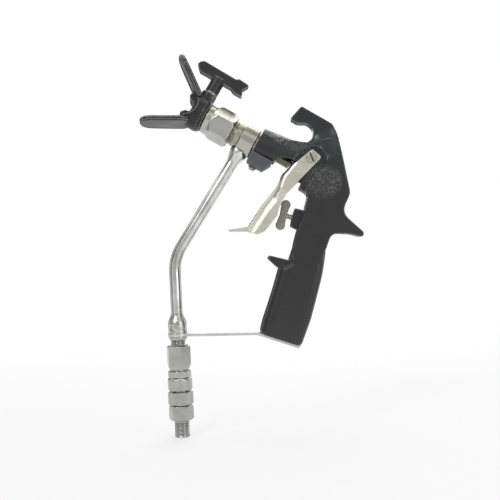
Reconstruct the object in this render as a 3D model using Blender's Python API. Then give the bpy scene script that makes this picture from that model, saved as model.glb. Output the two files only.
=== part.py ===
"""Hand-held airless paint sprayer gun: cast handle, hose swivel, needle valve, reversible tip and tip guard.

Metres, +Z up. The fluid tube and the hose swivel are parallel to Z, the gun is symmetric about Y = 0 apart from
its nozzle head, and the origin is the middle of the hand on the grip. Outlines are drawn in the XZ plane.
NOZZLE space is the barrel's own: its X runs backwards along the needle from the seam between guard and nut, and
its Z points to the top of the barrel.
"""

import math

import bmesh
import bpy
from mathutils import Matrix, Vector

MM = 0.001
GAP = 0.3 * MM  # between pieces that touch on the real gun
ROUND = 28  # sides of a large round piece
MEDIUM_ROUND = 22  # sides of a middling one
SMALL_ROUND = 16  # sides of a small one
SMALL_SIDES = 12  # sides of the smallest nuts' bores and chamfers

# Barrel line
PITCH = math.radians(31.7)
NOZZLE_X = -72.3 * MM
NOZZLE_Z = 148.3 * MM
NOZZLE = Matrix.Translation((NOZZLE_X, 0, NOZZLE_Z)) @ Matrix.Rotation(PITCH, 4, "Y")
HEAD_ROLL = math.radians(-7)  # the guard and tip are turned this far round the nozzle at rest

# Retaining nut
NUT_LENGTH = 25.9 * MM
NUT_COLLAR_LENGTH = 6.6 * MM
NUT_COLLAR_RADIUS = 13.2 * MM
NUT_FLATS = 27.0 * MM
NOSE_THREAD_RADIUS = 11.11 * MM  # 7/8-14

# Guard
GUARD_NECK_RADIUS = 8.9 * MM
GUARD_FLANGE_RADIUS = 10.8 * MM
GUARD_FLANGE_LENGTH = 2.3 * MM
GUARD_HEAD_RADIUS = 15.5 * MM
GUARD_HEAD_LENGTH = 18.0 * MM
GUARD_BORE_RADIUS = 7.2 * MM
SADDLE_CENTRE = (-20.0 * MM, 1.5 * MM)
SADDLE_HALF_LENGTH = 9.6 * MM
SADDLE_HALF_HEIGHT = 10.8 * MM
MOUTH_RADIUS = 12.6 * MM
WING_LENGTH = 37.0 * MM
WING_HALF_WIDTH = 16.0 * MM
WING_THICKNESS = 4.8 * MM
WING_RAIL = 4.4 * MM
WING_ROOT_LENGTH = 5.0 * MM
UPPER_WING_ANGLE = math.radians(37)
LOWER_WING_ANGLE = math.radians(-29)
UPPER_WING_ROOT = (-16.2 * MM, 14.4 * MM)
LOWER_WING_ROOT = (-15.6 * MM, -13.6 * MM)

# Reversible tip
TIP_OFFSET = -6.6 * MM  # of the stem from the seam, along the nozzle
TIP_RADIUS = 5.7 * MM
TIP_BOTTOM = -9.0 * MM
TIP_TOP = 36.0 * MM
TIP_TOWER_RADIUS = 6.9 * MM
TIP_TOWER_TOP = 20.4 * MM
ORIFICE_RADIUS = 2.1 * MM
ORIFICE_BORE = 0.6 * MM
HANDLE_THICKNESS = 8.0 * MM
TIP_HANDLE = (
    (-24.2, 38.6, 1.5),
    (-20.0, 43.2, 1.5),
    (13.4, 43.4, 4.0),
    (25.6, 45.2, 1.2),
    (21.6, 36.6, 3.0),
    (24.6, 30.2, 1.2),
    (14.6, 34.4, 5.0),
    (-20.4, 34.2, 1.5),
)

# Diffuser, seat and needle
DIFFUSER_END = 34.6 * MM
DIFFUSER_SPIGOT_RADIUS = 8.0 * MM
DIFFUSER_SPIGOT_LENGTH = 2.4 * MM
DIFFUSER_BORE = 6.0 * MM
SPRAY_BORE = 3.0 * MM
SEAT_FRONT = 16.8 * MM
SEAT_LENGTH = 3.9 * MM
SEAT_RADIUS = 4.9 * MM
SEAT_BORE = 1.3 * MM
BALL_RADIUS = 2.4 * MM
NEEDLE_RADIUS = 1.9 * MM
NEEDLE_REAR_RADIUS = 2.5 * MM
NEEDLE_STEP = 66.0 * MM
NEEDLE_END = 97.0 * MM
SPRING_SEAT = 46.0 * MM
SPRING_SEAT_LENGTH = 2.0 * MM
SPRING_SEAT_RADIUS = 5.6 * MM
SPRING_WIRE = 0.6 * MM
SPRING_TURNS = 4.5

# Fluid housing
HOUSING_RADIUS = 13.3 * MM
HOUSING_END = 48.7 * MM
SPIGOT_RADIUS = 11.0 * MM
SPIGOT_END = 64.0 * MM
CHAMBER_RADIUS = 6.5 * MM
PACKING_FRONT = 58.0 * MM
PACKING_LENGTH = 4.0 * MM
PACKING_NUT_RADIUS = 6.2 * MM
PACKING_THREAD_RADIUS = 4.8 * MM
PACKING_NUT_STEP = 70.8 * MM
PACKING_NUT_END = 83.2 * MM

# Casting
BODY_HALF_WIDTH = 13.5 * MM
HOOK_HALF_WIDTH = 8.5 * MM
GRIP_FRONT_FILLET = 9.5
GRIP_BACK_FILLET = 6.5
YOKE_HALF_WIDTH = 10.1 * MM  # of the casting between the trigger's side plates
BOSS_HALF_WIDTH = 6.5 * MM
BARREL_FRONT = 50.0 * MM
BARREL_SECTIONS = ((50.0, 0.3, 16.4, 16.4), (66.0, 1.9, 16.8, 16.4), (84.0, 3.4, 17.0, 15.4), (104.0, 4.0, 15.0, 12.6))
GRIP_LEAN = math.radians(20.4)
GRIP_BASE = (-16.9 * MM, -46.8 * MM)
GRIP_SECTIONS = (
    (0.0, -18.1, 18.1, 12.3),
    (2.5, -19.2, 19.0, 13.2),
    (12.0, -19.9, 19.4, 13.7),
    (25.0, -19.7, 19.8, 13.9),
    (42.0, -19.8, 18.9, 13.9),
    (59.0, -20.5, 17.9, 13.9),
    (66.0, -14.2, 17.2, 13.8),
    (84.0, -14.0, 14.3, 13.3),
)

# Trigger
PIVOT_X = 16.95 * MM
PIVOT_Z = 108.3 * MM
TRIGGER_HALF_WIDTH = 12.0 * MM
TRIGGER_SHEET = 1.6 * MM
TRIGGER_EYE_RADIUS = 7.5 * MM
PIVOT_BOLT_RADIUS = 3.0 * MM
PIVOT_HEAD_RADIUS = 4.7 * MM
PIVOT_HEAD_HEIGHT = 2.4 * MM
PIVOT_NUT_FLATS = 8.0 * MM
WEB_REAR = 86.0 * MM  # rear face of the trigger's web on the needle's line
PULL_NUT_LENGTH = 4.7 * MM
PULL_NUT_FLATS = 8.0 * MM
PULL_NUT_DOME = 13.0 * MM
JAM_NUT_LENGTH = 2.8 * MM

# Trigger lock
LOCK_X = -9.3 * MM
LOCK_Z = 60.5 * MM
LOCK_PITCH = math.radians(18)
LOCK_LOBE_OFFSET = 9.2 * MM
LOCK_LOBE_RADIUS = 4.1 * MM
LOCK_WAIST = 2.9 * MM
LOCK_THICKNESS = 3.6 * MM
LOCK_PIN_RADIUS = 2.3 * MM
LOCK_PIN_LENGTH = 17.0 * MM

# Fluid tube and its fitting
TUBE_RADIUS = 5.0 * MM
TUBE_WALL = 1.6 * MM
TUBE_X = -105.6 * MM
TUBE_LEAN = math.radians(33.9)
TUBE_PORT = 40.0 * MM  # where its line meets the needle's line
TUBE_BEND_RADIUS = 39.0 * MM
TUBE_TOP_DEPTH = 9.0 * MM
PORT_RADIUS = 3.0 * MM
FERRULE_RADIUS = 7.2 * MM
FERRULE_END_DEPTH = 24.0 * MM
FITTING_TOP = -21.2 * MM
FITTING_SHOULDER = -28.2 * MM
FITTING_RADIUS = 8.05 * MM
SOCKET_DEPTH = 9.0 * MM
PIPE_THREAD_RADIUS = 6.58 * MM  # 1/4-18 straight pipe thread
FLUID_BORE = 3.0 * MM

# Guard strip
STRIP_TOP = -38.0 * MM
STRIP_THICKNESS = 2.0 * MM
STRIP_HALF_WIDTH = 6.5 * MM
STRIP_EYE_RADIUS = 8.3 * MM
STRIP_BEND_X = -35.9 * MM
STRIP_DROP = 2.1 * MM
STRIP_END_INSET = 0.3 * MM
STRIP_SCREW_OFFSET = 11.0 * MM
STRIP_SCREW_RADIUS = 2.0 * MM
STRIP_SCREW_HEAD = 4.0 * MM
STRIP_SCREW_DEPTH = 12.0 * MM
RING_LENGTH = 3.0 * MM

# Coupling nut and hose swivel, from the top down
COUPLING_TOP = -48.6 * MM
COUPLING_LENGTH = 20.4 * MM
SWIVEL_FLATS = 19.05 * MM
STEM_RADIUS = 5.6 * MM
COLLAR_GAP = 1.3 * MM
COLLAR_LENGTH = 5.7 * MM
COLLAR_RADIUS = 10.0 * MM
SLEEVE_LENGTH = 11.4 * MM
SLEEVE_RADIUS = 10.6 * MM
BODY_HEX_LENGTH = 11.7 * MM
NIPPLE_HEX_LENGTH = 13.2 * MM
NIPPLE_NECK = 0.9 * MM
NIPPLE_THREAD_LENGTH = 13.9 * MM

BLACK_PAINT = ("black_paint", (0.030, 0.030, 0.030), 0.45, 0.0)
BLACK_PLASTIC = ("black_plastic", (0.035, 0.035, 0.037), 0.40, 0.0)
BLOCK_METAL = ("block_metal", (0.13, 0.15, 0.17), 0.42, 0.6)
NICKEL = ("nickel", (0.55, 0.54, 0.49), 0.28, 1.0)
CHROME = ("chrome", (0.80, 0.80, 0.80), 0.08, 1.0)
STEEL = ("steel", (0.50, 0.50, 0.50), 0.32, 1.0)
LOCK_METAL = ("lock_metal", (0.30, 0.30, 0.24), 0.45, 0.5)
SEAL = ("seal", (0.75, 0.73, 0.66), 0.6, 0.0)


def material(spec):
    name, colour, roughness, metallic = spec
    found = bpy.data.materials.get(name)
    if found:
        return found
    made = bpy.data.materials.new(name)
    made.use_nodes = True
    shader = made.node_tree.nodes["Principled BSDF"]
    shader.inputs["Base Color"].default_value = (*colour, 1)
    shader.inputs["Roughness"].default_value = roughness
    shader.inputs["Metallic"].default_value = metallic
    return made


def piece(name, bm, finish, place=Matrix.Identity(4)):
    """An object from a bmesh, with its origin at place."""
    bmesh.ops.remove_doubles(bm, verts=bm.verts, dist=1e-6)
    bmesh.ops.recalc_face_normals(bm, faces=bm.faces)
    mesh = bpy.data.meshes.new(name)
    bm.to_mesh(mesh)
    bm.free()
    mesh.materials.append(material(finish))
    obj = bpy.data.objects.new(name, mesh)
    bpy.context.collection.objects.link(obj)
    obj.matrix_world = place
    shade(obj)
    return obj


def shade(obj):
    obj.data.shade_smooth()
    obj.data.set_sharp_from_angle(angle=math.radians(32))


def settle(obj):
    """Applies the object's modifiers."""
    bpy.context.view_layer.update()
    shown = obj.evaluated_get(bpy.context.evaluated_depsgraph_get())
    mesh = bpy.data.meshes.new_from_object(shown)
    obj.modifiers.clear()
    obj.data = mesh
    shade(obj)
    return obj


def boolean(obj, tool, operation):
    """Joins the tool to obj, cuts it away or keeps what both share, and removes the tool."""
    modifier = obj.modifiers.new(operation.lower(), "BOOLEAN")
    modifier.operation = operation
    modifier.solver = "EXACT"
    modifier.object = tool
    settle(obj)
    bpy.data.objects.remove(tool)
    return cleaned(obj)


def cleaned(obj):
    """Merges the slivers that a Boolean leaves along its seams."""
    bm = bmesh.new()
    bm.from_mesh(obj.data)
    bmesh.ops.remove_doubles(bm, verts=bm.verts, dist=4e-6)
    bmesh.ops.dissolve_degenerate(bm, edges=bm.edges, dist=4e-6)
    bm.to_mesh(obj.data)
    bm.free()
    shade(obj)
    return obj


def join(obj, tool):
    return boolean(obj, tool, "UNION")


def cut(obj, tool):
    return boolean(obj, tool, "DIFFERENCE")


def bevelled(obj, width, segments=2, angle=40):
    modifier = obj.modifiers.new("edges", "BEVEL")
    modifier.width = width
    modifier.segments = segments
    modifier.limit_method = "ANGLE"
    modifier.angle_limit = math.radians(angle)
    return settle(obj)


def rounded(corners, step=math.radians(20)):
    """A closed outline in metres from corners (x, z, radius) in millimetres, each corner an arc."""
    outline = []
    count = len(corners)
    for i, (x, z, radius) in enumerate(corners):
        here = Vector((x, z))
        before = Vector(corners[i - 1][:2]) - here
        after = Vector(corners[(i + 1) % count][:2]) - here
        between = before.angle(after)
        if radius == 0 or math.pi - between < 0.02:
            outline.append(here * MM)
            continue
        reach = min(radius / math.tan(between / 2), 0.49 * before.length, 0.49 * after.length)
        radius = reach * math.tan(between / 2)
        middle = (before.normalized() + after.normalized()).normalized()
        centre = here + middle * (radius / math.sin(between / 2))
        start = here + before.normalized() * reach - centre
        end = here + after.normalized() * reach - centre
        turn = start.angle_signed(end)
        steps = max(1, round(abs(turn) / step))
        for k in range(steps + 1):
            outline.append((centre + Matrix.Rotation(-turn * k / steps, 2) @ start) * MM)
    return outline


def arc(x, z, radius, start, end, steps):
    """Points of an arc about (x, z), with angles in degrees from +X towards +Z."""
    angles = [math.radians(start + (end - start) * k / steps) for k in range(steps + 1)]
    return [Vector((x + radius * math.cos(a), z + radius * math.sin(a))) for a in angles]


def prism(name, outline, half_width, finish, place=Matrix.Identity(4), bevel=0.0, segments=2):
    """An XZ outline extruded to half_width on both sides of Y = 0."""
    bm = bmesh.new()
    face = bm.faces.new([bm.verts.new((p[0], -half_width, p[1])) for p in outline])
    grown = bmesh.ops.extrude_face_region(bm, geom=[face])
    moved = [v for v in grown["geom"] if isinstance(v, bmesh.types.BMVert)]
    bmesh.ops.translate(bm, verts=moved, vec=(0, 2 * half_width, 0))
    obj = piece(name, bm, finish, place)
    return bevelled(obj, bevel, segments) if bevel else obj


def turned(name, profile, finish, place=Matrix.Identity(4), sides=ROUND):
    """A closed profile of (radius, height) spun round Z."""
    bm = bmesh.new()
    verts = [bm.verts.new((r, 0, h)) for r, h in profile]
    edges = [bm.edges.new((verts[i - 1], verts[i])) for i in range(len(verts))]
    bmesh.ops.spin(bm, geom=verts + edges, cent=(0, 0, 0), axis=(0, 0, 1), angle=2 * math.pi,
                   steps=sides, use_merge=True, use_duplicate=False)
    bmesh.ops.remove_doubles(bm, verts=bm.verts, dist=1e-6)
    bmesh.ops.dissolve_degenerate(bm, edges=bm.edges, dist=1e-7)
    bmesh.ops.delete(bm, geom=[edge for edge in bm.edges if edge.is_wire], context="EDGES")
    return piece(name, bm, finish, place)


def rod(name, radius, low, high, finish, place=Matrix.Identity(4), sides=SMALL_ROUND):
    """A plain cylinder along Z."""
    return turned(name, ((0, low), (radius, low), (radius, high), (0, high)), finish, place, sides)


def ring(profile, bore):
    """A turned profile, given from the top down its outer side, closed by a straight bore."""
    top, bottom = profile[0][1], profile[-1][1]
    return [(bore, top), *profile, (bore, bottom)]


def hexagon(flats, turn=0.0):
    """Corners of a hexagon with that distance across its flats."""
    reach = flats / math.sqrt(3)
    angles = [turn + math.pi / 3 * k for k in range(6)]
    return [(reach * math.cos(a), reach * math.sin(a)) for a in angles]


def hex_bar(name, flats, low, high, finish, place, turn=0.0, chamfer_low=True, chamfer_high=True, sides=MEDIUM_ROUND):
    """A hexagonal bar along Z whose ends are turned off at 30 degrees, as nuts are."""
    bm = bmesh.new()
    face = bm.faces.new([bm.verts.new((x, y, low)) for x, y in hexagon(flats, turn)])
    grown = bmesh.ops.extrude_face_region(bm, geom=[face])
    moved = [v for v in grown["geom"] if isinstance(v, bmesh.types.BMVert)]
    bmesh.ops.translate(bm, verts=moved, vec=(0, 0, high - low))
    bar = piece(name, bm, finish, place)
    outer = flats / math.sqrt(3) * 1.02
    inner = flats / 2 * 0.97
    rise = (outer - inner) * math.tan(math.radians(30))
    low_inner = (inner, low) if chamfer_low else (outer, low)
    high_inner = (inner, high) if chamfer_high else (outer, high)
    low_outer = (outer, low + rise) if chamfer_low else (outer, low + rise / 2)
    high_outer = (outer, high - rise) if chamfer_high else (outer, high - rise / 2)
    profile = ((0, low), low_inner, low_outer, high_outer, high_inner, (0, high))
    blank = turned(name + "_blank", profile, finish, place, sides)
    return boolean(bar, blank, "INTERSECT")


def loft(name, rings, finish, place=Matrix.Identity(4)):
    """A closed skin over rings that have equal counts of points."""
    bm = bmesh.new()
    loops = [[bm.verts.new(p) for p in ring_points] for ring_points in rings]
    for lower, upper in zip(loops, loops[1:]):
        for i in range(len(lower)):
            bm.faces.new((lower[i - 1], lower[i], upper[i], upper[i - 1]))
    bm.faces.new(reversed(loops[0]))
    bm.faces.new(loops[-1])
    return piece(name, bm, finish, place)


def pipe(name, points, radius, finish, place=Matrix.Identity(4), resolution=4):
    """A round bar along points, with flat ends, as a mesh."""
    data = bpy.data.curves.new(name, "CURVE")
    data.dimensions = "3D"
    data.bevel_depth = radius
    data.bevel_resolution = resolution
    data.use_fill_caps = True
    spline = data.splines.new("POLY")
    spline.points.add(len(points) - 1)
    for point, at in zip(spline.points, points):
        point.co = (*at, 1)
    guide = bpy.data.objects.new(name + "_guide", data)
    bpy.context.collection.objects.link(guide)
    bpy.context.view_layer.update()
    shown = guide.evaluated_get(bpy.context.evaluated_depsgraph_get())
    bm = bmesh.new()
    bm.from_mesh(bpy.data.meshes.new_from_object(shown))
    bpy.data.objects.remove(guide)
    return piece(name, bm, finish, place)


def along(place, axis_turn=Matrix.Rotation(math.pi / 2, 4, "Y")):
    """The place turned so that heights of a turned profile run along its X."""
    return place @ axis_turn


def on_line(distance, height=0.0):
    """World X and Z of a point of NOZZLE space."""
    at = NOZZLE @ Vector((distance, 0, height))
    return at.x, at.z


BARREL = along(NOZZLE)  # turned pieces of the barrel line
HEAD = NOZZLE @ Matrix.Rotation(HEAD_ROLL, 4, "X")
HEAD_TURNED = along(HEAD)
STEM = HEAD @ Matrix.Translation((TIP_OFFSET, 0, 0))
STACK = Matrix.Translation((TUBE_X, 0, 0))
ACROSS = Matrix.Rotation(math.pi / 2, 4, "X")  # turned pieces whose heights run towards -Y
GRIP = Matrix.Translation((GRIP_BASE[0], 0, GRIP_BASE[1])) @ Matrix.Rotation(GRIP_LEAN, 4, "Y")

FLANGE_FRONT = NUT_COLLAR_LENGTH + GAP
FLANGE_END = FLANGE_FRONT + GUARD_FLANGE_LENGTH
DIFFUSER_FRONT = FLANGE_END + GAP


# Nozzle head


def retaining_nut():
    """Round collar over the guard's flange, then the hexagon that threads onto the diffuser."""
    shoulder = NUT_COLLAR_LENGTH
    nut = hex_bar("retaining_nut", NUT_FLATS, shoulder - 1.0 * MM, NUT_LENGTH, NICKEL, BARREL,
                  math.radians(10), chamfer_high=False)
    collar = turned("collar", ((0, GAP), (NUT_COLLAR_RADIUS - 0.8 * MM, GAP), (NUT_COLLAR_RADIUS, 1.1 * MM),
                               (NUT_COLLAR_RADIUS, shoulder), (0, shoulder)), NICKEL, BARREL)
    join(nut, collar)
    bore = NOSE_THREAD_RADIUS + GAP
    opening = GUARD_NECK_RADIUS + GAP
    hollow = ((0, -MM), (opening, -MM), (opening, shoulder), (bore, shoulder), (bore, NUT_LENGTH + MM),
              (0, NUT_LENGTH + MM))
    return cut(nut, turned("hollow", hollow, NICKEL, BARREL))


def wing(name, root, angle):
    """A flat hand guard loop that runs forward from the head at an angle above the nozzle line."""
    place = HEAD @ Matrix.Translation((root[0], 0, root[1])) @ Matrix.Rotation(angle, 4, "Y")
    half = WING_HALF_WIDTH / MM
    length = WING_LENGTH / MM
    rail = WING_RAIL / MM
    back = WING_ROOT_LENGTH / MM
    outer = rounded(((back, -half * 0.8, 3), (back, half * 0.8, 3), (0, half, 6), (-length, half * 0.93, 11),
                     (-length, -half * 0.93, 11), (0, -half, 6)))
    inner = rounded(((-back, -half + rail, 3), (-back, half - rail, 3), (-length + rail, half * 0.93 - rail, 7.5),
                     (-length + rail, -half * 0.93 + rail, 7.5)))
    flat = place @ Matrix.Rotation(math.pi / 2, 4, "X")
    loop = prism(name, outer, WING_THICKNESS / 2, BLACK_PLASTIC, flat)
    cut(loop, prism("window", inner, WING_THICKNESS, BLACK_PLASTIC, flat))
    return bevelled(loop, 1.3 * MM, 1)


def tip_guard():
    """Head with a spray mouth and a tower for the tip's stem, two open wings, and the flange that the nut holds."""
    front = -GUARD_HEAD_LENGTH
    radius = GUARD_HEAD_RADIUS
    rear = NUT_COLLAR_RADIUS + 0.4 * MM
    profile = ((0, front), (radius - 1.2 * MM, front), (radius, front + 1.4 * MM), (radius, -3.6 * MM),
               (rear, -GAP), (GUARD_NECK_RADIUS, -GAP), (GUARD_NECK_RADIUS, FLANGE_FRONT),
               (GUARD_FLANGE_RADIUS, FLANGE_FRONT), (GUARD_FLANGE_RADIUS, FLANGE_END), (0, FLANGE_END))
    guard = turned("tip_guard", profile, BLACK_PLASTIC, HEAD_TURNED)
    tower = ((0, 0), (TIP_TOWER_RADIUS, 0), (TIP_TOWER_RADIUS, TIP_TOWER_TOP - 0.8 * MM),
             (TIP_TOWER_RADIUS - 0.8 * MM, TIP_TOWER_TOP), (0, TIP_TOWER_TOP))
    tower_place = HEAD @ Matrix.Translation((-TIP_TOWER_RADIUS - GAP, 0, 0))
    join(guard, turned("tower", tower, BLACK_PLASTIC, tower_place, MEDIUM_ROUND))
    join(guard, wing("upper_wing", UPPER_WING_ROOT, UPPER_WING_ANGLE))
    join(guard, wing("lower_wing", LOWER_WING_ROOT, LOWER_WING_ANGLE))
    mouth = ((0, front - 8 * MM), (MOUTH_RADIUS + 4 * MM, front - 8 * MM), (MOUTH_RADIUS, front),
             (3.6 * MM, TIP_OFFSET), (0, TIP_OFFSET))
    cut(guard, turned("mouth", mouth, BLACK_PLASTIC, HEAD_TURNED, MEDIUM_ROUND))
    bore = ((0, TIP_OFFSET), (GUARD_BORE_RADIUS, TIP_OFFSET), (GUARD_BORE_RADIUS, FLANGE_END + MM),
            (0, FLANGE_END + MM))
    cut(guard, turned("bore", bore, BLACK_PLASTIC, HEAD_TURNED, MEDIUM_ROUND))
    cut(guard, rod("stem_hole", TIP_RADIUS + GAP, TIP_BOTTOM - GAP, TIP_TOWER_TOP + MM, BLACK_PLASTIC, STEM, MEDIUM_ROUND))
    x, z = SADDLE_CENTRE
    oval = [(x + SADDLE_HALF_LENGTH * math.cos(a), z + SADDLE_HALF_HEIGHT * math.sin(a))
            for a in (2 * math.pi * k / MEDIUM_ROUND for k in range(MEDIUM_ROUND))]
    return cut(guard, prism("saddle", oval, GUARD_HEAD_RADIUS + 4 * MM, BLACK_PLASTIC, HEAD))


def tip_pieces():
    """The stem that carries the spray orifice across the nozzle line, and its arrow handle."""
    stem = ((0, TIP_BOTTOM), (TIP_RADIUS - 0.6 * MM, TIP_BOTTOM), (TIP_RADIUS, TIP_BOTTOM + 0.6 * MM),
            (TIP_RADIUS, TIP_TOP), (0, TIP_TOP))
    barrel = turned("tip_barrel", stem, NICKEL, STEM, MEDIUM_ROUND)
    cut(barrel, rod("passage", ORIFICE_RADIUS + GAP, -2 * TIP_RADIUS, 2 * TIP_RADIUS, NICKEL, along(STEM)))
    reach = TIP_RADIUS - 0.6 * MM
    orifice = ((ORIFICE_BORE, -reach), (ORIFICE_RADIUS, -reach), (ORIFICE_RADIUS, reach), (1.4 * MM, reach),
               (ORIFICE_BORE, 0))
    turned("tip_orifice", orifice, STEEL, along(STEM), SMALL_SIDES)
    handle = prism("tip_handle", rounded(TIP_HANDLE), HANDLE_THICKNESS / 2, BLACK_PLASTIC, STEM, 1.0 * MM)
    boss = ((0, TIP_TOWER_TOP + 9 * MM), (TIP_RADIUS + 1.4 * MM, TIP_TOWER_TOP + 9 * MM),
            (TIP_RADIUS + 1.4 * MM, TIP_TOP + 3 * MM), (0, TIP_TOP + 3 * MM))
    join(handle, turned("boss", boss, BLACK_PLASTIC, STEM, SMALL_ROUND))
    cut(handle, rod("socket", TIP_RADIUS + GAP, 0, TIP_TOP + GAP, BLACK_PLASTIC, STEM))
    return barrel, handle


def tip_seals():
    """Metal saddle seal that beds on the stem, and the soft gasket behind it."""
    radius = GUARD_BORE_RADIUS - GAP
    middle = FLANGE_FRONT - 2.2 * MM
    body = ((1.8 * MM, TIP_OFFSET + 2.6 * MM), (radius, TIP_OFFSET + 2.6 * MM), (radius, middle), (1.8 * MM, middle))
    seal = turned("tip_seal", body, STEEL, HEAD_TURNED, MEDIUM_ROUND)
    cut(seal, rod("stem_room", TIP_RADIUS + GAP, -2 * radius, 2 * radius, STEEL, STEM, MEDIUM_ROUND))
    gasket = ((2.6 * MM, middle + GAP), (radius, middle + GAP), (radius, FLANGE_END), (2.6 * MM, FLANGE_END))
    turned("tip_gasket", gasket, SEAL, HEAD_TURNED, SMALL_SIDES)


# Valve


def diffuser():
    """Threaded nose that carries the retaining nut outside and the valve seat inside."""
    end = DIFFUSER_END
    spigot_end = end + DIFFUSER_SPIGOT_LENGTH
    seat = SEAT_FRONT - GAP
    pocket = SEAT_RADIUS + GAP
    pocket_end = SEAT_FRONT + SEAT_LENGTH + GAP
    profile = ((SPRAY_BORE, DIFFUSER_FRONT), (NOSE_THREAD_RADIUS - 0.8 * MM, DIFFUSER_FRONT),
               (NOSE_THREAD_RADIUS, DIFFUSER_FRONT + 0.8 * MM), (NOSE_THREAD_RADIUS, end),
               (DIFFUSER_SPIGOT_RADIUS, end), (DIFFUSER_SPIGOT_RADIUS, spigot_end), (DIFFUSER_BORE, spigot_end),
               (DIFFUSER_BORE, pocket_end), (pocket, pocket_end), (pocket, seat), (SPRAY_BORE, seat))
    return turned("diffuser", profile, STEEL, BARREL, MEDIUM_ROUND)


def valve_seat():
    end = SEAT_FRONT + SEAT_LENGTH
    profile = ((SEAT_BORE, SEAT_FRONT), (SEAT_RADIUS, SEAT_FRONT), (SEAT_RADIUS, end), (BALL_RADIUS, end),
               (SEAT_BORE, end - 1.6 * MM))
    return turned("valve_seat", profile, STEEL, BARREL, SMALL_SIDES)


def needle():
    """Ball-ended rod from the seat, through the packing, to the thread that the trigger pulls."""
    centre = SEAT_FRONT + SEAT_LENGTH + BALL_RADIUS * 0.75
    ball = [(BALL_RADIUS * math.sin(a), centre - BALL_RADIUS * math.cos(a))
            for a in (math.radians(d) for d in (0, 25, 50, 75, 100, 125))]
    step = NEEDLE_STEP
    end = NEEDLE_END
    profile = (*ball, (NEEDLE_RADIUS, SPRING_SEAT), (SPRING_SEAT_RADIUS, SPRING_SEAT),
               (SPRING_SEAT_RADIUS, SPRING_SEAT + SPRING_SEAT_LENGTH), (NEEDLE_RADIUS, SPRING_SEAT + SPRING_SEAT_LENGTH),
               (NEEDLE_RADIUS, step), (NEEDLE_REAR_RADIUS, step), (NEEDLE_REAR_RADIUS, end - 0.6 * MM),
               (NEEDLE_REAR_RADIUS - 0.6 * MM, end), (0, end))
    return turned("needle", profile, STEEL, BARREL, SMALL_SIDES)


def needle_nuts():
    """The domed nut that the trigger's web pushes back, and the nut that jams it on the thread."""
    front = WEB_REAR + GAP
    back = front + PULL_NUT_LENGTH
    bore = NEEDLE_REAR_RADIUS + GAP
    nut = hex_bar("pull_nut", PULL_NUT_FLATS, front, back, NICKEL, BARREL, sides=SMALL_SIDES)
    reach = PULL_NUT_FLATS * 0.6
    dome = [(PULL_NUT_DOME * math.sin(a), front + PULL_NUT_DOME * (1 - math.cos(a)))
            for a in (math.asin(reach / PULL_NUT_DOME) * k / 3 for k in range(4))]
    blank = turned("dome", (*dome, (reach, back + MM), (0, back + MM)), NICKEL, BARREL, SMALL_SIDES)
    boolean(nut, blank, "INTERSECT")
    cut(nut, rod("thread", bore, front - MM, back + MM, NICKEL, BARREL, SMALL_SIDES))
    jam = hex_bar("jam_nut", PULL_NUT_FLATS, back + GAP, back + GAP + JAM_NUT_LENGTH, NICKEL, BARREL,
                  math.radians(20), sides=SMALL_SIDES)
    cut(jam, rod("thread", bore, back, back + 2 * JAM_NUT_LENGTH, NICKEL, BARREL, SMALL_SIDES))


def needle_spring():
    """Compression spring between the needle's shoulder and the packing."""
    start = SPRING_SEAT + SPRING_SEAT_LENGTH + SPRING_WIRE + GAP
    end = PACKING_FRONT - SPRING_WIRE - GAP
    radius = CHAMBER_RADIUS - SPRING_WIRE - 2 * GAP
    count = round(SPRING_TURNS * 9)
    points = []
    for k in range(count + 1):
        angle = 2 * math.pi * SPRING_TURNS * k / count
        points.append((start + (end - start) * k / count, radius * math.cos(angle), radius * math.sin(angle)))
    return pipe("needle_spring", points, SPRING_WIRE, STEEL, NOZZLE, 1)


def fluid_housing():
    """Round body that joins the tube to the valve, with a spigot that the casting clamps."""
    front = DIFFUSER_END + GAP
    socket_end = DIFFUSER_END + DIFFUSER_SPIGOT_LENGTH + GAP
    socket = DIFFUSER_SPIGOT_RADIUS + GAP
    profile = ((socket, front), (HOUSING_RADIUS - 0.7 * MM, front), (HOUSING_RADIUS, front + 0.7 * MM),
               (HOUSING_RADIUS, HOUSING_END - 0.7 * MM), (HOUSING_RADIUS - 0.7 * MM, HOUSING_END),
               (SPIGOT_RADIUS, HOUSING_END), (SPIGOT_RADIUS, SPIGOT_END), (CHAMBER_RADIUS, SPIGOT_END),
               (CHAMBER_RADIUS, socket_end), (socket, socket_end))
    housing = turned("fluid_housing", profile, NICKEL, BARREL)
    tube = tube_frame()
    pocket = ((0, -HOUSING_RADIUS * 1.5), (TUBE_RADIUS + GAP, -HOUSING_RADIUS * 1.5),
              (TUBE_RADIUS + GAP, -TUBE_TOP_DEPTH + GAP), (PORT_RADIUS, -TUBE_TOP_DEPTH + GAP), (PORT_RADIUS, 0), (0, 0))
    return cut(housing, turned("pocket", pocket, NICKEL, tube, SMALL_ROUND))


def packing():
    end = PACKING_FRONT + PACKING_LENGTH
    radius = CHAMBER_RADIUS - GAP
    bore = NEEDLE_RADIUS + GAP
    profile = ((bore, PACKING_FRONT), (radius, PACKING_FRONT), (radius, end), (bore, end))
    return turned("packing", profile, SEAL, BARREL, SMALL_SIDES)


def packing_nut():
    """Presses the packing in, and carries its adjusting thread out behind the barrel."""
    front = PACKING_FRONT + PACKING_LENGTH + GAP
    bore = NEEDLE_REAR_RADIUS + GAP
    profile = ((bore, front), (PACKING_NUT_RADIUS, front), (PACKING_NUT_RADIUS, PACKING_NUT_STEP),
               (PACKING_THREAD_RADIUS, PACKING_NUT_STEP), (PACKING_THREAD_RADIUS, PACKING_NUT_END - 0.6 * MM),
               (PACKING_THREAD_RADIUS - 0.6 * MM, PACKING_NUT_END), (bore, PACKING_NUT_END))
    return turned("packing_nut", profile, STEEL, BARREL, SMALL_ROUND)


# Fluid tube


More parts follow.
